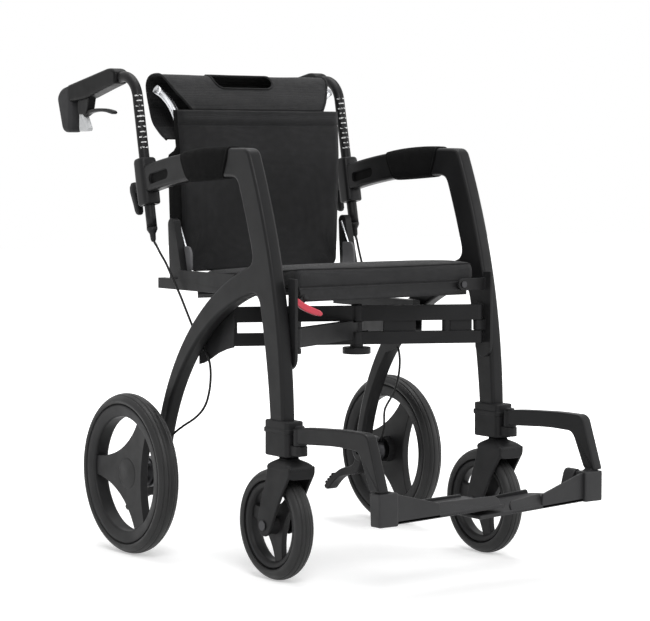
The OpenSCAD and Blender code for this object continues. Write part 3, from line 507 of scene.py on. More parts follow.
def leg_y(edge, z):
    return arc_y(*edge, [z], -1)[0][0]


def crossing(f, low, high):
    """Where f changes its sign between two limits."""
    for _ in range(60):
        mid = (low + high) / 2
        low, high = (mid, high) if f(mid) * f(low) > 0 else (low, mid)
    return low


def arch_gap(edge):
    return lambda z: leg_y(LEG_REAR, z) - arc_y(*edge, [z], 1)[0][0]


def frame_outline():
    top = crossing(lambda z: arm_z(leg_y(LEG_FRONT, z), ARM_TOP) - z, 600, 800)
    under = crossing(lambda z: arm_z(leg_y(LEG_REAR, z), ARM_LOW) - z, 600, 800)
    arch_top = crossing(arch_gap(ARCH_UP), 400, 569)
    arch_low = crossing(arch_gap(ARCH_LOW), 380, 511)
    front = arc_y(*LEG_FRONT, linspace(LEG_FOOT, top, 40), -1)
    arm_top = [(y, arm_z(y, ARM_TOP)) for y in linspace(front[-1][0], ARM_END_TOP, 30)]
    arm_end = [arm_top[-1], (ARM_END_LOW, arm_z(ARM_END_LOW, ARM_LOW))]
    arm_low = [(y, arm_z(y, ARM_LOW)) for y in linspace(ARM_END_LOW, leg_y(LEG_REAR, under), 26)]
    leg_mid = arc_y(*LEG_REAR, linspace(under, arch_top, 16), -1)
    upper = arc_y(*ARCH_UP, linspace(0, 1, 60) ** 1.3 * (BOSS_JOIN - arch_top) + arch_top, 1)
    lower = arc_y(*ARCH_LOW, linspace(1, 0, 56) ** 1.3 * (BOSS_JOIN - 6 - arch_low) + arch_low, 1)
    ends = [atan2(p[1] - AXLE[1], p[0] - AXLE[0]) for p in (upper[-1], lower[0])]
    sweep = linspace(ends[0] - BOSS_GAP, ends[1] - 2 * pi + BOSS_GAP, 30)
    boss = [along(AXLE, (cos(a), sin(a)), BOSS_R) for a in sweep]
    leg_low = arc_y(*LEG_REAR, linspace(arch_low, LEG_FOOT, 20), -1)
    lines = [front, arm_top, arm_end, arm_low, leg_mid, upper + boss + lower, leg_low, [leg_low[-1], front[0]]]
    return softened(lines, [14, 0, 0, 16, 22, 26, 0, 0])


def on_tube(d, across, along_y):
    """A point at a distance d up the handle tube, off its axis across (X) and along_y (square to both)."""
    y, z = along(TUBE_FOOT, TUBE_DIR, d)
    return LEG_X + across, y + along_y * TUBE_DIR[1], z - along_y * TUBE_DIR[0]


def round_box(half_p, half_q, power, n=48):
    """A box about the origin with round corners, one point per angle; power 2 makes it an ellipse."""
    out = []
    for c, d in compass(n, 0.5):
        r = 1 / ((abs(c) / half_p) ** power + (abs(d) / half_q) ** power) ** (1 / power)
        out.append((r * c, r * d))
    return out


SLOT_C, SLOT_DEEP = (184, 704), 6
arm_slot = [along((y0, z0), (cos(a), sin(a)), 10) for y0, z0, a0 in ((208, 699, -0.5), (160, 709, 0.5))
            for a in linspace(a0 * pi, (a0 + 1) * pi, 14)]
beams = pair("side_beam", plate(frame_outline(), IN_X, OUT_X, 6.5), paint, "frame", "frame", "front_leg", "rear_arch")
for side, beam in beams.items():
    for low, high in ((OUT_X - SLOT_DEEP, OUT_X + 3), (IN_X - 3, IN_X + SLOT_DEEP)):
        cut_away(beam, skin([[(x, y, z) for y, z in arm_slot] for x in (low, high)]), SIDES[side])
insert = [(SLOT_C[0] + (y - SLOT_C[0]) * 0.93, SLOT_C[1] + (z - SLOT_C[1]) * 0.9) for y, z in arm_slot]
pockets = [plate(insert, x, x + 1.2, 0.4) for x in (OUT_X - 5.8, IN_X + 4.6)]
pair("slot_insert", merged(*pockets), pocket_black, "frame", "plastic")

# Clamp collar: height up the tube and half width; the lug behind it carries the clamp lever
COLLAR = [(59, 15.5), (60, 17), (63, 17.8), (100, 18), (141, 17.8), (145.5, 17), (148, 15)]
BORE_R = 10.25
outer = [[on_tube(d, x, y) for x, y in round_box(half, half, 6 - 32 / half)] for d, half in COLLAR]
bore = [[on_tube(d, x, y) for x, y in round_box(BORE_R, BORE_R, 2)] for d, _ in (COLLAR[-1], COLLAR[0])]
lug = rounded([(262, 671), (286, 671), (296, 676), (296, 687), (286, 691), (262, 690)], 6)
pair("clamp_collar", merged(skin(outer + bore, True), plate(lug, LEG_X - 8, LEG_X + 8, 2)), paint, "frame", "frame",
     "armrest")

# Soft sleeves round the armrests: share of the length and padding, with a hem at each end, longer on top
SLEEVE = [(0, -0.6), (0.004, 1.2), (0.015, 2.7), (0.03, 3.2), (0.045, 2.4), (0.06, 3.3), (0.12, 3.6), (0.25, 4.2),
          (0.4, 4.5)]
SLEEVE += [(1 - t, lift) for t, lift in reversed(SLEEVE)]
SLEEVE_INSIDE = [(t, -0.8) for t in (0.99, 0.5, 0.01)]
SLEEVE_Y, SHORTER, PADDING = (-56, 106), (22, 24), 4.5


def sleeve_rings():
    reach = ARM_HALF_Z + PADDING
    rings = []
    for t, lift in SLEEVE + SLEEVE_INSIDE:
        ring = []
        for x, v in round_box(ARM_HALF_X + lift, ARM_HALF_Z + lift, 4.2, 56):
            low = min(1, max(0, (reach - v) / (2 * reach))) ** 1.6
            y0, y1 = SLEEVE_Y[0] + SHORTER[0] * low, SLEEVE_Y[1] - SHORTER[1] * low
            lean = asin((y0 + (y1 - y0) * t - ARM_C[0]) / ARM_MID)
            ring.append((LEG_X + x, *along(ARM_C, (sin(lean), cos(lean)), ARM_MID + v)))
        rings.append(ring)
    return rings


sleeves = pair("sleeve", skin(sleeve_rings(), True), sleeve_cloth_and_return_shade, "frame", "foam", "armrest_sleeve", subdivide=1)

# Wheels: spoke is the width of a spoke, mid the panel's radius between two of them
WHEELS = {
    "rear": SimpleNamespace(
        x=306, y=AXLE[0], z=AXLE[1], width=42, outer=150, inner=131, grooves=(-13.5, -6, 6, 13.5), rim_in=107,
        rim_half=18, spoke=36, mid=50, hub=24, hub_x=(-21, 4), bore=12.2, faces=(-8, 10), dish=4, turn=3),
    "caster": SimpleNamespace(
        x=LEG_X, y=-183, z=98, width=38, outer=98, inner=78, grooves=(-10.5, -3.8, 3.8, 10.5), rim_in=64, rim_half=14,
        spoke=22, mid=29, hub=16, hub_x=(-20.8, 20.8), bore=5.2, faces=(-6, 6), dish=2, turn=16),
}
GROOVE, PANEL_EDGE = 1.5, 2.5
HUB_CAP = [(3, 0.05), (8.2, 0.05), (8, 9), (7.4, 17), (6.6, 25), (6, 31), (3, 31)]
BEARING = [(-19, 6.2), (-19, 12), (2, 12), (2, 6.2)]


def tread_r(w, a):
    r = w.width * 0.57
    return w.outer - r + sqrt(max(r * r - a * a, 0))


def tyre_profile(w):
    half = w.width / 2
    spots = list(linspace(-half + 0.6, half - 0.6, 25))
    cuts = []
    for g in w.grooves:
        spots = [a for a in spots if abs(a - g) > 1.3] + [g - 1.2, g + 1.2]
        cuts += [g - 0.7, g + 0.7]
    line = sorted([(a, tread_r(w, a)) for a in spots] + [(a, tread_r(w, a) - GROOVE) for a in cuts])
    wall = [(half, w.inner + 5), (half - 1.2, w.inner + 1.5), (half - 3, w.inner)]
    return [(-a, r) for a, r in reversed(wall)] + line + wall


def star(theta, rim, half_angle, mid):
    """Edge of the wheel's panel: three roots on the rim, with one arc cut in between each two."""
    t = (theta + pi / 3) % (2 * pi / 3) - pi / 3
    if abs(t) <= half_angle:
        return rim
    span = pi / 3 - half_angle
    c = (rim * rim - mid * mid) / (2 * (rim * cos(span) - mid))
    off = pi / 3 - abs(t)
    return c * cos(off) - sqrt(max((c - mid) ** 2 - (c * sin(off)) ** 2, 0))


def wheel_panel(w, n=216):
    """The dished panel between rim and hub: rings from the bore out over one face and back by the other."""
    rim, bore, turn = w.rim_in + PANEL_EDGE, w.bore, radians(w.turn)
    half_angle = asin(w.spoke / 2 / rim)
    stops = [(1, f, 0) for f in (0, 0.12, 0.3, 0.5, 0.7, 0.88)] + [(1, 1, PANEL_EDGE), (1, 1, 0.7), (0.8, 1, 0)]
    stops += [(-k, f, e) for k, f, e in reversed(stops)]
    rings = []
    for k, f, e in stops:
        ring = []
        for a in 2 * pi * np.arange(n) / n:
            r = bore + (star(a, rim, half_angle, w.mid) - e - bore) * f
            sunk = w.dish * (1 - min(1, (r - bore) / (rim - bore)) ** 2)
            face = w.faces[1] - sunk if k > 0 else w.faces[0]
            middle = (w.faces[0] + w.faces[1] - sunk) / 2
            x = middle + (face - middle) * abs(k)
            ring.append((w.x + x, w.y + r * cos(a + turn), w.z + r * sin(a + turn)))
        rings.append(ring)
    return skin(rings, True)


for kind, w in WHEELS.items():
    centre, body = (w.x, w.y, w.z), f"{kind}_wheel"
    h, lo, hi = w.rim_half, w.rim_in, w.inner
    half_rim = [(h, hi), (h + 0.4, hi - 5), (h - 0.4, hi - 10), (h - 2.5, lo + 3), (h - 5, lo + 0.6), (h - 8, lo)]
    band = lathe(half_rim + [(-a, r) for a, r in reversed(half_rim)], centre)
    (h0, h1), hub = w.hub_x, w.hub
    boss = lathe([(h0, w.bore), (h0, hub - 2), (h0 + 1.5, hub - 0.5), (w.faces[0] - 1, hub + 2), (0, hub + 3),
                  (w.faces[1] - w.dish, hub + 1.5), (h1 - 1, hub - 1), (h1, hub - 2.2), (h1, w.bore)], centre, 72)
    parts = [band, wheel_panel(w), boss]
    if kind == "rear":
        parts.append(lathe(HUB_CAP, centre, 96))
        pair("hub_bearing", lathe(BEARING, centre, 48), dark_steel, body, "steel", "rear_bearings")
    pair(f"{kind}_tread", lathe(tyre_profile(w), centre), tyre_rubber, body, "tyre", f"{kind}_tyre")
    pair(f"{kind}_centre", merged(*parts), rim_plastic, body, "plastic", f"{kind}_rim")

# Caster forks: two broad legs under a shouldered crown, given as height, half width, y limits and corner
FORK_LEG = rounded([
    (-262, 207), (-196, 207), (-190, 179), (-175, 142), (-164, 104), (-169, 86), (-184, 77), (-199, 84), (-216, 117),
    (-239, 159), (-262, 193)
], [3, 4, 16, 16, 16, 8, 8, 8, 18, 18, 14])
FORK_CROWN = [
    (198.5, 27, -259, -194, 7), (200, 28, -261, -192, 8), (204, 28.2, -262, -190, 9), (208, 27.3, -260, -192, 10),
    (211.5, 24.5, -254, -196, 11), (214.5, 19.5, -246, -201, 10), (216.5, 15.5, -240, -205, 8),
    (218, 14, -237, -208, 7), (220.7, 13.6, -236.5, -208, 7)
]
fork_top = skin([[(x, y, z) for x, y in box(LEG_X - half, LEG_X + half, y0, y1, r)]
                 for z, half, y0, y1, r in FORK_CROWN])
legs = [plate(FORK_LEG, x, x + 6, 2.2, 3) for x in (LEG_X - 28, LEG_X + 22)]
brow = rounded([(209, 204), (209, 190), (216, 185), (256, 185), (263, 190), (263, 204)], [2, 5, 6, 6, 5, 2])
pair("fork", merged(fork_top, plate(brow, -262, -255, 2, 3, Y), *legs), plastic, "caster", "plastic", "caster_fork")

# Handles: tube with its height marks, housing, pistol grip, ferrule and brake lever
TUBE_R, BEND_R, TUBE_LEN, TUBE_TAIL, DROOP = 10, 50, 266, 70, radians(8)
MARK_ROWS, MARK_FIRST, MARK_STEP, MARK_TURN = 11, 168, 10, 18
HOUSING = rounded([
    (337, 902), (351, 908), (367, 909), (522, 880), (522, 846), (488, 849), (456, 852), (378, 871), (337, 880)
], [7, 7, 7, 0, 0, 8, 10, 12, 9])
GRIP = rounded([(513, 881), (550, 874), (566, 857), (543, 787), (511, 787), (510, 848)], [0, 13, 16, 13, 13, 10])
FERRULE = [(16, 10.4), (12, 10.2), (7, 7.6), (4, 5.8), (-7, 5), (-11, 3.4), (-11, 2.3), (16, 2.3)]
LEVER_HUB = rounded([
    (446, 868), (462, 872), (488, 852), (494, 846), (494, 826), (488, 822), (464, 822), (456, 832)
], [6, 6, 6, 4, 4, 4, 6, 8])
LEVER_PIN = [(-14, 0.2), (-14, 2.4), (-13.4, 3), (13.4, 3), (14, 2.4), (14, 0.2)]
FINGER = [(482, 816), (470, 818), (455, 823.5), (436, 826), (414, 826.5), (390, 825), (367, 821), (362, 823.5),
          (366, 827.5), (390, 831.5), (414, 833), (438, 832.5), (458, 830), (476, 826), (484, 822)]
TAIL = rounded([
    (491, 829), (478, 826), (470, 812), (459, 795), (462, 789), (490, 788), (492, 795)
], [3, 4, 8, 4, 4, 5, 4])


def across_leg(outline, half, r, steps=4):
    """A plate in the middle of the leg's width."""
    return plate(outline, LEG_X - half, LEG_X + half, r, steps)


bend_c = along(along(TUBE_FOOT, TUBE_DIR, TUBE_LEN), (cos(TUBE_LEAN), -sin(TUBE_LEAN)), BEND_R)
tube_line = [along(TUBE_FOOT, TUBE_DIR, d) for d in linspace(13, TUBE_LEN, 12)]
tube_line += [along(bend_c, (cos(a), sin(a)), BEND_R)
              for a in linspace(pi - TUBE_LEAN, pi / 2 - DROOP, 16)[1:]]
tube_line += [along(tube_line[-1], (cos(DROOP), -sin(DROOP)), d) for d in (20, 45, TUBE_TAIL)]
pair("tube", tube([(LEG_X, y, z) for y, z in tube_line], TUBE_R, 32), paint, "handle", "plastic", "handle_tube")
for side, s in SIDES.items():
    marks = []
    for i in range(MARK_ROWS):
        d = MARK_FIRST + MARK_STEP * i
        reach, tall = (46, 1.3) if i % 2 == 0 else (30, 1.0)
        turns = [radians(180 - MARK_TURN * s + a) for a in linspace(-reach, reach, 10)]
        strip = [(d - tall, a) for a in turns] + [(d + tall, a) for a in reversed(turns)]
        marks.append(skin([[on_tube(e, -r * sin(a), r * cos(a)) for e, a in strip]
                           for r in (TUBE_R - 0.2, TUBE_R + 0.25)]))
    piece(f"{side}_height_marks", merged(*marks), white_ink, f"{side}_handle", "alloy", side=s, flat=True)
pair("housing", across_leg(HOUSING, 16, 6), dark_plastic, "handle", "plastic", "handle_body")
pair("grip", across_leg(GRIP, 17, 9, 6), grip_rubber, "handle", "grip", "hand_grip")
ferrule = [[on_tube(d, r * c, r * e) for c, e in compass(32)] for d, r in FERRULE]
pair("ferrule", skin(ferrule, True), plastic, "handle", "plastic")
lever_pin = lathe(LEVER_PIN, (LEG_X, 450, 862), 24)
pair("lever_hub", merged(across_leg(LEVER_HUB, 9, 2), lever_pin), plastic, "brake", "plastic")
finger = smooth_line(FINGER + FINGER[:1], 4)[:-1]
pair("finger_lever", across_leg(finger, 6, 1.8), rim_plastic, "brake", "alloy")
pair("lever_tail", across_leg(TAIL, 7, 2.2), lever_paint, "brake", "alloy", "brake_lever")

# Clamp levers, as height, y and half sizes, and hub brakes
CLAMP = [(691, 286, 2, 4), (689, 286, 7, 9), (681, 286, 9, 11.5), (672, 285.5, 8.5, 11.5), (662, 283, 8, 10),
         (648, 279, 7.5, 8), (636, 275.5, 7, 7), (631, 274.5, 5, 5.5), (629, 274.5, 2, 2.5)]
HUB_BRAKE = [
    (IN_X, 0.1), (IN_X, 6), (OUT_X, 6), (OUT_X, 27.5), (OUT_X + 1.5, DRUM_R), (268.5, DRUM_R), (270, 27.5), (270, 24),
    (283.6, 24), (283.6, 6), (307, 6), (307, 0.1)
]
clamp = skin([[(LEG_X + half_x * u, y + half_y * v, z) for u, v in round_box(1, 1, 4)]
              for z, y, half_y, half_x in CLAMP])
pair("clamp_grip", clamp, plastic, "clamp", "plastic", "clamp_lever")
pair("hub_brake", lathe(HUB_BRAKE, (0, *AXLE), 96), dark_steel, "frame", "steel", "rear_axle")

# Kerb pedals with ribs for the foot
PEDAL = rounded([
    (186, 150), (208, 150), (213, 126), (228, 116), (252, 112), (275, 101), (296, 85), (317, 68), (312, 61),
    (302, 61), (283, 79), (265, 91), (246, 97), (222, 100), (200, 106), (189, 126)
], [4, 4, 8, 10, 12, 12, 12, 6, 5, 5, 10, 10, 10, 10, 12, 12])
PEDAL_RIBS = [(290, 93), (297, 87), (304, 81), (311, 75)]
RIB = [(-11, 0.1), (-11, 2), (-9, 3), (9, 3), (11, 2), (11, 0.1)]
ribs = [lathe(RIB, (LEG_X, *c), 16) for c in PEDAL_RIBS]
pair("pedal", merged(across_leg(PEDAL, 12, 3), *ribs), plastic, "frame", "plastic", "step_pedal")

# Caster sockets, each with the pintle that its footrest hangs on
PINTLE_Y = -256
PINTLE = [(243, 0.1), (243, 5), (273.5, 5), (273.5, 7), (274.5, 8), (277, 8), (278, 7), (278, 0.1)]
block = plate(box(217, 255, -243, -172, 9), 221.5, 284, 3, 4, Z)
band = plate(box(215.5, 256.5, -244, -170, 9), 262, 271, 2, 3, Z)
foot = plate(box(224, 248, -268, -236, [11, 11, 2, 2]), 226, 243.5, 1.5, 3, Z)
pintle = lathe(PINTLE, (LEG_X, PINTLE_Y, 0), 32, Z)
pair("socket", merged(block, band, foot, pintle), plastic, "frame", "plastic", "footrest_holder")

# Back tubes, each with its foot rod, strut and foot plate
BACK_TUBE = smooth_line([
    (160, 228, 514), (160, 234, 640), (160, 240, 752), (163, 250, 802), (172, 260, 836), (187, 266, 857),
    (203, 268, 868)
], 8)
FOOT_ROD, STRUT = [(160, 228, 522), (187, 188, 522)], [(189, 184, 570), (189, 206, 612)]
STAY_PLATE = rounded([(163, 526), (200, 519), (201, 571), (172, 572), (163, 560)], [8, 4, 4, 6, 8])
pair("back_stay", merged(tube(BACK_TUBE, 8, 24), tube(FOOT_ROD, 4, 16), tube(STRUT, 1.8, 12)), alloy, "frame", "alloy",
     "back_tube")
pair("stay_plate", plate(STAY_PLATE, 186.5, 191.5, 1.5), grey_plastic, "frame", "alloy")

# Footrest hangers: the arm, the eye on the pintle, and the barrel and tongue that the footplate flips on
HANGER = rounded([
    (PINTLE_Y, 247), (-372, 255), (-430, 254), (-440, 247), (-468, 191), (-497, 191), (-464, 279), (-454, 285),
    (-394, 285), (-292, 279), (PINTLE_Y, 275)
], [0, 30, 7, 7, 5, 5, 7, 7, 30, 30, 0])
TONGUE = rounded([(212, 186), (212, 176), (240, 176), (240, 195), (228, 195)], 3)
EYE = [(244, 5.3), (244, 11), (245, 12), (272, 12), (273, 11), (273, 5.3)]
BARREL = [(-494, 0.1), (-494, 6), (-469, 6), (-469, 4), (-436, 4), (-436, 0.1)]
hanger = merged(across_leg(HANGER, 10, 3.5), lathe(EYE, (LEG_X, PINTLE_Y, 0), 48, Z),
                lathe(BARREL, (214, 0, 181), 32, Y), plate(TONGUE, -492, -474, 1.5, 3, Y))
pair("hanger_arm", hanger, paint, "hanger", "frame", "footrest_hanger")

# Footplates: the right one laps over the left one
PLATE_OUT, PLATE_IN, PLATE_FRONT, PLATE_REAR, LIP_FROM = 222, -27, -490, -378, 116
FOOTPLATES = {"left": (137, 126, 44), "right": (134, 142, PLATE_IN + 8)}


def footplate(outer_z, inner_z, lip_end):
    """Deck with a front lip that rises to the outside, a low rear lip and the hinge knuckle."""
    deck = rounded([(PLATE_OUT, PLATE_FRONT), (PLATE_OUT, -462), (178, PLATE_REAR), (PLATE_IN, PLATE_REAR),
                    (PLATE_IN, PLATE_FRONT)], [2, 12, 16, 6, 3])
    gusset = rounded([(PLATE_OUT, 1), (PLATE_OUT, 50), (204, 51), (114, 25), (112, 1)], [1, 5, 8, 3, 1])
    lip = rounded([(LIP_FROM, 1), (LIP_FROM, 25), (lip_end + 6, 21), (lip_end, 15), (lip_end, 1)], [1, 2, 3, 3, 1])
    rear = rounded([(174, 1), (170, 14), (lip_end, 11), (lip_end, 1)], [1, 4, 4, 1])
    upright, leaning = [plate(edge, PLATE_FRONT, PLATE_FRONT + 6, 1.5, 3, Y) for edge in (gusset, lip)]
    leaning = shaped(leaning, lambda x, y, z: (x, y + 0.45 * max(0, z - 4), z))
    tilt = (inner_z - outer_z) / (PLATE_OUT - PLATE_IN)
    tray = merged(plate(deck, 0, 7, 2, 3, Z), upright, leaning, plate(rear, PLATE_REAR - 5, PLATE_REAR, 1.5, 3, Y))
    tray = shaped(tray, lambda x, y, z: (x, y, z + outer_z + tilt * (PLATE_OUT - x)))
    knuckle = rounded([(204, 184), (209, 191), (219, 191), (224, 184), (222, 138), (192, 138)], [5, 5, 5, 5, 2, 8])
    end_block = plate(box(206, 246, -497, -470, 4), outer_z - 1, 189, 2.5, 3, Z)
    return merged(tray, plate(knuckle, -466, -439, 2, 3, Y), end_block)


for side, s in SIDES.items():
    piece(f"{side}_tread_plate", footplate(*FOOTPLATES[side]), deck_plastic, f"{side}_foot", "plastic",
          f"{side}_footplate", side=s)

# Seat cushion: crowned, its sides drawn in between the corners, with a welt round its top and its bottom
SEAT_FRONT, BOARD_Z, RAKE = -196, 512, radians(4)
CUSHION_HALF, CUSHION_LONG, CENTRE = 203, 341, np.array([0.0, 168.0])
CUSHION = [
    (CUSHION_HALF, 0), (CUSHION_HALF, CUSHION_LONG), (-185, CUSHION_LONG), (-185, 176), (-CUSHION_HALF, 176),
    (-CUSHION_HALF, 0)
]
CUSHION_SIDE = [(7, 0.4), (3.5, 2), (1.6, 6), (0.8, 13), (0.6, 20), (1, 26), (2.2, 30.5), (4.4, 33), (7.5, 34)]
RIM_INSET, RIM_Z = CUSHION_SIDE[-1]
PULL, CROWN, DENTS = 2.0, 5.0, 0.7
PUFF_VOXEL, PUFF_PRESSURE, PUFF_MOST, PUFF_FRAMES, PUFF_HELD = 0.005, 4, 0.004, 20, at(0, 0, 490).z


def on_seat(x, y, z):
    """A point from the seat's own plane, y back from the board's front edge."""
    return (x, SEAT_FRONT + y * cos(RAKE) + z * sin(RAKE), BOARD_Z - y * sin(RAKE) + z * cos(RAKE))


def drawn_in(p):
    """The point pulled towards the middle: not at all at the corners, most half way along a side."""
    x, y = p
    if min(abs(y), abs(CUSHION_LONG - y)) < abs(CUSHION_HALF - abs(x)):
        share = max(0, 1 - (x / 200) ** 2)
    else:
        share = max(0, 1 - ((y - 170) / 168) ** 2)
    return p + (CENTRE - p) / norm(CENTRE - p) * (PULL * share)


def skirted(p, z):
    """A point of the cushion's side, with the front hanging a little over the rail."""
    front = max(0, 1 - p[1] / 26)
    return on_seat(p[0], p[1] - 4 * front, z - 7 * front * max(0, 1 - z / 20))


def cushion_rings():
    rings = [[skirted(drawn_in(p), z) for p in inset(cushion_edge, depth)] for depth, z in CUSHION_SIDE]
    rim = np.array(inset(cushion_edge, RIM_INSET))
    for k in (0.955, 0.91, 0.84, 0.74, 0.6, 0.44, 0.28, 0.12):
        ring = []
        for p in CENTRE + (rim - CENTRE) * k:
            slow = noise.noise(Vector((p[0] * 0.012, p[1] * 0.012, 3.0)))
            ring.append(on_seat(p[0], p[1], RIM_Z + CROWN * (1 - k ** 3) + DENTS * slow))
        rings.append(ring)
    return rings


def puffed(mesh):
    """The cushion's mesh blown up a little by a cloth simulation, with its low front held."""
    work = added("puff", mesh)
    modifier(work, "REMESH", mode="VOXEL", voxel_size=PUFF_VOXEL)
    done = work.data = baked(work)
    work.modifiers.clear()
    spots = np.array([v.co for v in done.vertices])
    held = work.vertex_groups.new(name="held")
    held.add([i for i, p in enumerate(spots) if p[Z] < PUFF_HELD], 1, "REPLACE")
    soft = modifier(work, "CLOTH")
    given(soft.settings, use_pressure=True, uniform_pressure_force=PUFF_PRESSURE, vertex_group_mass="held", quality=4)
    soft.settings.effector_weights.gravity = 0
    given(soft.point_cache, frame_start=1, frame_end=PUFF_FRAMES)
    for step in range(1, PUFF_FRAMES + 1):
        scene.frame_set(step)
    blown = work.evaluated_get(bpy.context.evaluated_depsgraph_get()).data
    moved = np.array([v.co for v in blown.vertices]) - spots
    far = np.maximum(norm(moved, axis=1), 1e-9)
    spots += moved * np.minimum(1, PUFF_MOST / far)[:, None]
    work.modifiers.clear()
    done.vertices.foreach_set("co", spots.astype(np.float32).ravel())
    done.update()
    scene.frame_set(1)
    bpy.data.objects.remove(work)
    recolor(done, seat_cloth)
    done.shade_smooth()
    return done


cushion_sides = [linspace(a, b, max(2, round(dist(a, b) / 8)) + 1)
                 for a, b in zip(CUSHION, CUSHION[1:] + CUSHION[:1])]
cushion_edge = softened(cushion_sides, [12, 12, 6, 6, 12, 12])
cushion = piece("cushion", skin(cushion_rings()), seat_cloth, "seat", "fabric", "seat_cushion")
cushion.data = puffed(cushion.data)
modifier(cushion, "SUBSURF", levels=1)
shell = BVHTree.FromPolygons([v.co for v in cushion.data.vertices], [tuple(f.vertices) for f in cushion.data.polygons])


def welt(name, line, r):
    """A cord sewn on the finished cushion, on the surface points nearest to a closed line, evened out."""
    spots = np.array([shell.find_nearest(at(*p))[0] for p in line]) / MM - (0, SHIFT, 0)
    spots = (np.roll(spots, 1, 0) + 2 * spots + np.roll(spots, -1, 0)) / 4
    piece(name, tube(spots, r, 8, True), seam_thread, "seat", "fabric")


welt("cushion_welt", [on_seat(*p, 32.6) for p in inset(cushion_edge, 3.6)], 1.5)
welt("cushion_low_welt", [skirted(p, 2.2) for p in inset(cushion_edge, 3.2)], 1.3)

# Fabric back: a panel with side returns and a tuck band; the returns get a darker cloth as painted shade
PANEL_LOW, PANEL_TOP, RETURN_TOP, TUCK = 522.5, 828, 742, 803
RETURN_DEEP, TOP_DEEP, WADDING = 45, 14, 6.5


def fold(x, z, seed, scale=0.011):
    return noise.noise(Vector((x * scale, z * scale, seed)))


def panel_front(u, z):
    """Front face of the back panel at u from -1 to 1 across and height z."""
    half = 178 + (z - PANEL_LOW) * 0.03
    x = half * u
    y = 205 + max(z - RETURN_TOP, 0) * 0.09
    if z < RETURN_TOP:
        y += 8 * sin(pi * (z - PANEL_LOW) / (RETURN_TOP - PANEL_LOW)) * (1 - u * u)
    near_edge = max(0, 1 - (1 - abs(u)) * half / 12)
    y += 5 * near_edge ** 2
    y -= 2.6 * exp(-((z - TUCK - 7) / 6) ** 2) * (1 - near_edge)
    y += 2.2 * exp(-((z - TUCK + 3) / 2.2) ** 2)
    y += 1.6 * fold(x, z, 1.0) * (1 - near_edge)
    corner = max(0, 1 - dist((abs(x), z), (half, PANEL_LOW)) / 95)
    y += 2.4 * corner * sin(atan2(z - PANEL_LOW + 8, half + 8 - abs(x)) * 9) * (1 - near_edge)
    lift = 16 * max(0, (abs(u) - 0.86) / 0.14) ** 2 * max(0, 1 - (z - PANEL_LOW) / 60)
    return Vector((x, y, z + lift))


def panel_rings():
    """Each level is one closed ring: returns and front outside, and back the same way further in."""
    us = [copysign(abs(u) ** 0.8, u) for u in [-1 + 2 * k / 60 for k in range(61)]]
    levels = [*linspace(PANEL_LOW, 795, 38), 798, 800, 801.5, TUCK, 805, 808, 812, 816, 820, 824, PANEL_TOP]
    rings = []
    for z in levels:
        front = [panel_front(u, z) for u in us]
        deep = RETURN_DEEP - (RETURN_DEEP - TOP_DEEP) * min(1, max(0, z - RETURN_TOP) / 12)
        x, y, edge_z = front[0]
        ends = [Vector((x, y + d, edge_z)) for d in (deep, deep * 0.6, deep * 0.25)]
        line = ends + front + [Vector((-p.x, p.y, p.z)) for p in reversed(ends)]
        inner = [Vector((p.x * 0.957, p.y + (WADDING if 3 <= i <= len(line) - 4 else 0), p.z))
                 for i, p in enumerate(line)]
        rings.append(line + inner[::-1])
    return rings


def two_tone_and_shade(obj, second, test):
    """Gives the faces that pass a test a second material, which is another cloth on the hood and painted shade on the
    back panel's returns.
    """
    obj.data.materials.append(second)
    for face in obj.data.polygons:
        face.material_index = int(test(face))


back_panel = piece("back_panel", skin(panel_rings()), upholstery, "left_frame", "fabric", "backrest_panel")
# painted shade: the side returns, which face sideways, get the darker sleeve cloth
two_tone_and_shade(back_panel, sleeve_cloth_and_return_shade, lambda face: abs(face.normal.x) > 0.8)

# Hood over the tube tops, with a hand slot; its section (y, z) runs from the front's foot to the back's
HOOD_HALF, SLOT_HALF, SLOT_R, SLOT_OFF, MESH_FROM = 190, 68, 20, -18, 287
HOOD = smooth_line([
    (219, 829), (227, 846), (241, 866), (254, 883), (266, 893), (282, 897), (301, 895), (316, 888), (322, 876),
    (319, 858), (311, 834), (298, 806), (273, 785), (250, 772)
], 3)
hood_len = np.concatenate([[0], np.cumsum([dist(a, b) for a, b in zip(HOOD, HOOD[1:])])])
s_low = next(s for s, p in zip(hood_len, HOOD) if p[1] > 870)
s_top = next(s for s, p in zip(hood_len, HOOD) if p[0] > 283)
s_end, s_corner = hood_len[-1], s_low + SLOT_R


def hood_point(x, s):
    """A point of the hood, s along its section."""
    y, z = [float(np.interp(s, hood_len, [p[i] for p in HOOD])) for i in (0, 1)]
    share = s / s_end
    loose = sin(pi * min(1, share * 1.4))
    end = max(0, (abs(x) - 140) / 48)
    dip = 2.2 * fold(x, s, 5.0, 0.016) * loose + 1.2 * fold(x, s, 9.0, 0.04) * end
    slump = 5 * loose * (1 - (x / HOOD_HALF) ** 2) * (1 if share < 0.5 else 0.2)
    narrow = 1 - 0.2 * max(0, 1 - share / 0.3) ** 1.5 * min(1, abs(x) / HOOD_HALF) ** 2
    aside = SLOT_OFF * (1 - abs(x) / HOOD_HALF)
    return (x * narrow + aside, y + dip, z - 0.35 * slump + 0.5 * dip)


def slot_bottom(x):
    over = max(0, abs(x) - (SLOT_HALF - SLOT_R))
    return s_low + SLOT_R * (1 - sqrt(max(0, 1 - (over / SLOT_R) ** 2)))


def patch(xs, start, end, rows):
    """A grid of hood points between two limits, the upper one a length or a function of x."""
    ends = [end(x) if callable(end) else end for x in xs]
    grid = [[hood_point(x, start + (e - start) * t) for x, e in zip(xs, ends)] for t in np.arange(rows + 1) / rows]
    n = len(xs)
    faces = [(j * n + i, j * n + i + 1, (j + 1) * n + i + 1, (j + 1) * n + i)
             for j in range(rows) for i in range(n - 1)]
    return [p for row in grid for p in row], faces


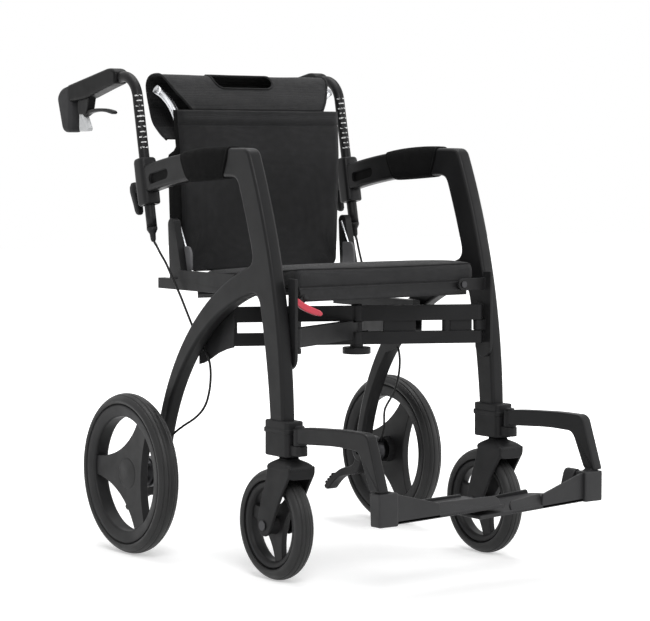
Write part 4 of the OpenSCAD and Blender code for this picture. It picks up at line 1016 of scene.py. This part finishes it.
mid_xs = [SLOT_HALF * sin(pi / 2 * t) for t in linspace(-1, 1, 25)]
side_xs = linspace(SLOT_HALF, HOOD_HALF, 23)
patches = [patch(mid_xs, 0, slot_bottom, 20), patch(mid_xs, s_top, s_end, 34)]
for xs in (side_xs, -side_xs):
    patches += [patch(xs, 0, s_corner, 20), patch(xs, s_corner, s_top, 6), patch(xs, s_top, s_end, 34)]
hood = piece("hood", merged(*patches), upholstery, "left_frame", "fabric", "backrest_hood")
two_tone_and_shade(hood, mesh_cloth, lambda face: face.center.y > at(0, MESH_FROM, 0).y)
hood.modifiers.clear()
modifier(hood, "SOLIDIFY", thickness=2.4 * MM, offset=-1)
modifier(hood, "WEIGHTED_NORMAL")
hems = [tube([hood_point(x, s) for s in linspace(0, s_end, 90)], 2.4, 10) for x in (-HOOD_HALF, HOOD_HALF)]
rim = [(x, slot_bottom(x)) for x in mid_xs] + [(SLOT_HALF, s) for s in linspace(s_corner, s_top, 8)[1:]]
rim += [(x, s_top) for x in mid_xs[::-1]][1:] + [(-SLOT_HALF, s) for s in linspace(s_top, s_corner, 8)[1:-1]]
hems.append(tube([hood_point(x, s) for x, s in rim], 2.2, 10, True))
hood_hem = piece("hood_hem", merged(*hems), seam_thread, "left_frame", "fabric")

# The back's soft pieces each get their own copy of their mesh
for soft in (back_panel, hood, hood_hem):
    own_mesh(soft)

# Carried-over nodes, with the width of their broken edges
CARRIED = [
    ("scissor_double_arm", paint, 1.5), ("scissor_single_arm", paint, 1.5), ("centre_pin", plastic, 1.2),
    ("seat_board", plastic, 0), ("seat_hinge_pins", dark_steel, 0.5)
]
for side in SIDES:
    CARRIED += [(f"{side}_hinge_bracket", plastic, 1.2), (f"{side}_back_post", paint, 2.5),
                (f"{side}_caster_axle", dark_steel, 0.8)]
for carried in CARRIED:
    dress(*carried)

# Webs between the double arm's rails: along the arm from its hinge
HINGE, ARM_TURN, WEB_Z, WEB_TALL = (205, -200), atan2(100, -205), 417, 26
webs = [plate(box(a, b, 0, WEB_TALL, 3), -3, 3, 1, 3, Y) for a, b in ((12, 60), (118, 178))]
ax, ay = cos(ARM_TURN), sin(ARM_TURN)
webs = shaped(merged(*webs), lambda x, y, z: (HINGE[0] + x * ax - y * ay, HINGE[1] + x * ay + y * ax, z + WEB_Z))
piece("scissor_web", webs, paint, "double_arm", "frame")

# Release lever: the red pull, its pivot stub and the link behind it
PULL_OUTLINE = rounded([
    (-212, 492), (-205, 495), (-196, 488), (-186, 483), (-170, 476), (-157, 471), (-152, 465), (-157, 461),
    (-172, 464), (-188, 470), (-200, 476), (-210, 484)
], [4, 4, 4, 6, 8, 4, 4, 4, 8, 8, 6, 5])
LINK = rounded([(-182, 497), (-190, 499), (-203, 488), (-196, 480), (-184, 489)], 3)
STUB = [(-204, 0.1), (-204, 5), (-199, 5), (-199, 3), (-185, 3), (-185, 0.1)]
piece("release_pull", plate(PULL_OUTLINE, -209, -202, 2.4, 4, Y), red_plastic, "seat_release", "red", "release_lever")
link = merged(lathe(STUB, (-186, 0, 494), 24, Y), plate(LINK, -202.5, -199, 1, 3, Y))
piece("release_link", link, plastic, "seat_release", "plastic")

# Stage: pale floor that keeps the shadow, white surroundings, soft lamps
FLOOR_HALF, FLOOR_GLOW, SKY_LIGHT = 12, 0.42, 0.55
FLOOR_FADE, LAMP_AIM = (0.6, 2.0), (0, 0, 0.4)
LAMPS = [("key", (-1.6, -3.0, 3.0), 75, 1.8), ("top", (0.3, 0.4, 3.6), 70, 2.6), ("fill", (3.2, -2.0, 1.8), 35, 2.0)]
floor_mesh = bpy.data.meshes.new("floor")
floor_mesh.from_pydata([(x * FLOOR_HALF, y * FLOOR_HALF, 0) for x, y in ((-1, -1), (1, -1), (1, 1), (-1, 1))],
                       [], [(0, 1, 2, 3)])
floor = added("floor", floor_mesh)
pale = bpy.data.materials.new("pale_floor")
floor_mesh.materials.append(pale)
look = Nodes(pale)
look.tree.nodes.clear()
away = look.node("VectorMath", {0: look.node("TexCoord").outputs["Object"]}, operation="LENGTH")
far_share = look.remap(away.outputs["Value"], *FLOOR_FADE, 0, 1, interpolation_type="SMOOTHSTEP")
glow = look.math("MULTIPLY", look.seen_directly(), look.remap(far_share, 0, 1, FLOOR_GLOW, 1))
emit = look.node("Emission", {"Strength": glow})
matte = look.node("BsdfDiffuse", {"Color": (0.8, 0.8, 0.8, 1)})
both = look.node("AddShader", {0: emit.outputs[0], 1: matte.outputs[0]})
look.node("OutputMaterial", {"Surface": both.outputs[0]})

scene.world = bpy.data.worlds.new("surround")
look = Nodes(scene.world)
look.tree.nodes.clear()
strength = look.remap(look.seen_directly(), 0, 1, SKY_LIGHT, 1)
sky = look.node("Background", {"Color": (1, 1, 1, 1), "Strength": strength})
look.node("OutputWorld", {"Surface": sky.outputs[0]})

for name, place, power, size in LAMPS:
    light = given(bpy.data.lights.new(name, "AREA"), shape="DISK", energy=power, size=size)
    aimed(name, light, place, LAMP_AIM)
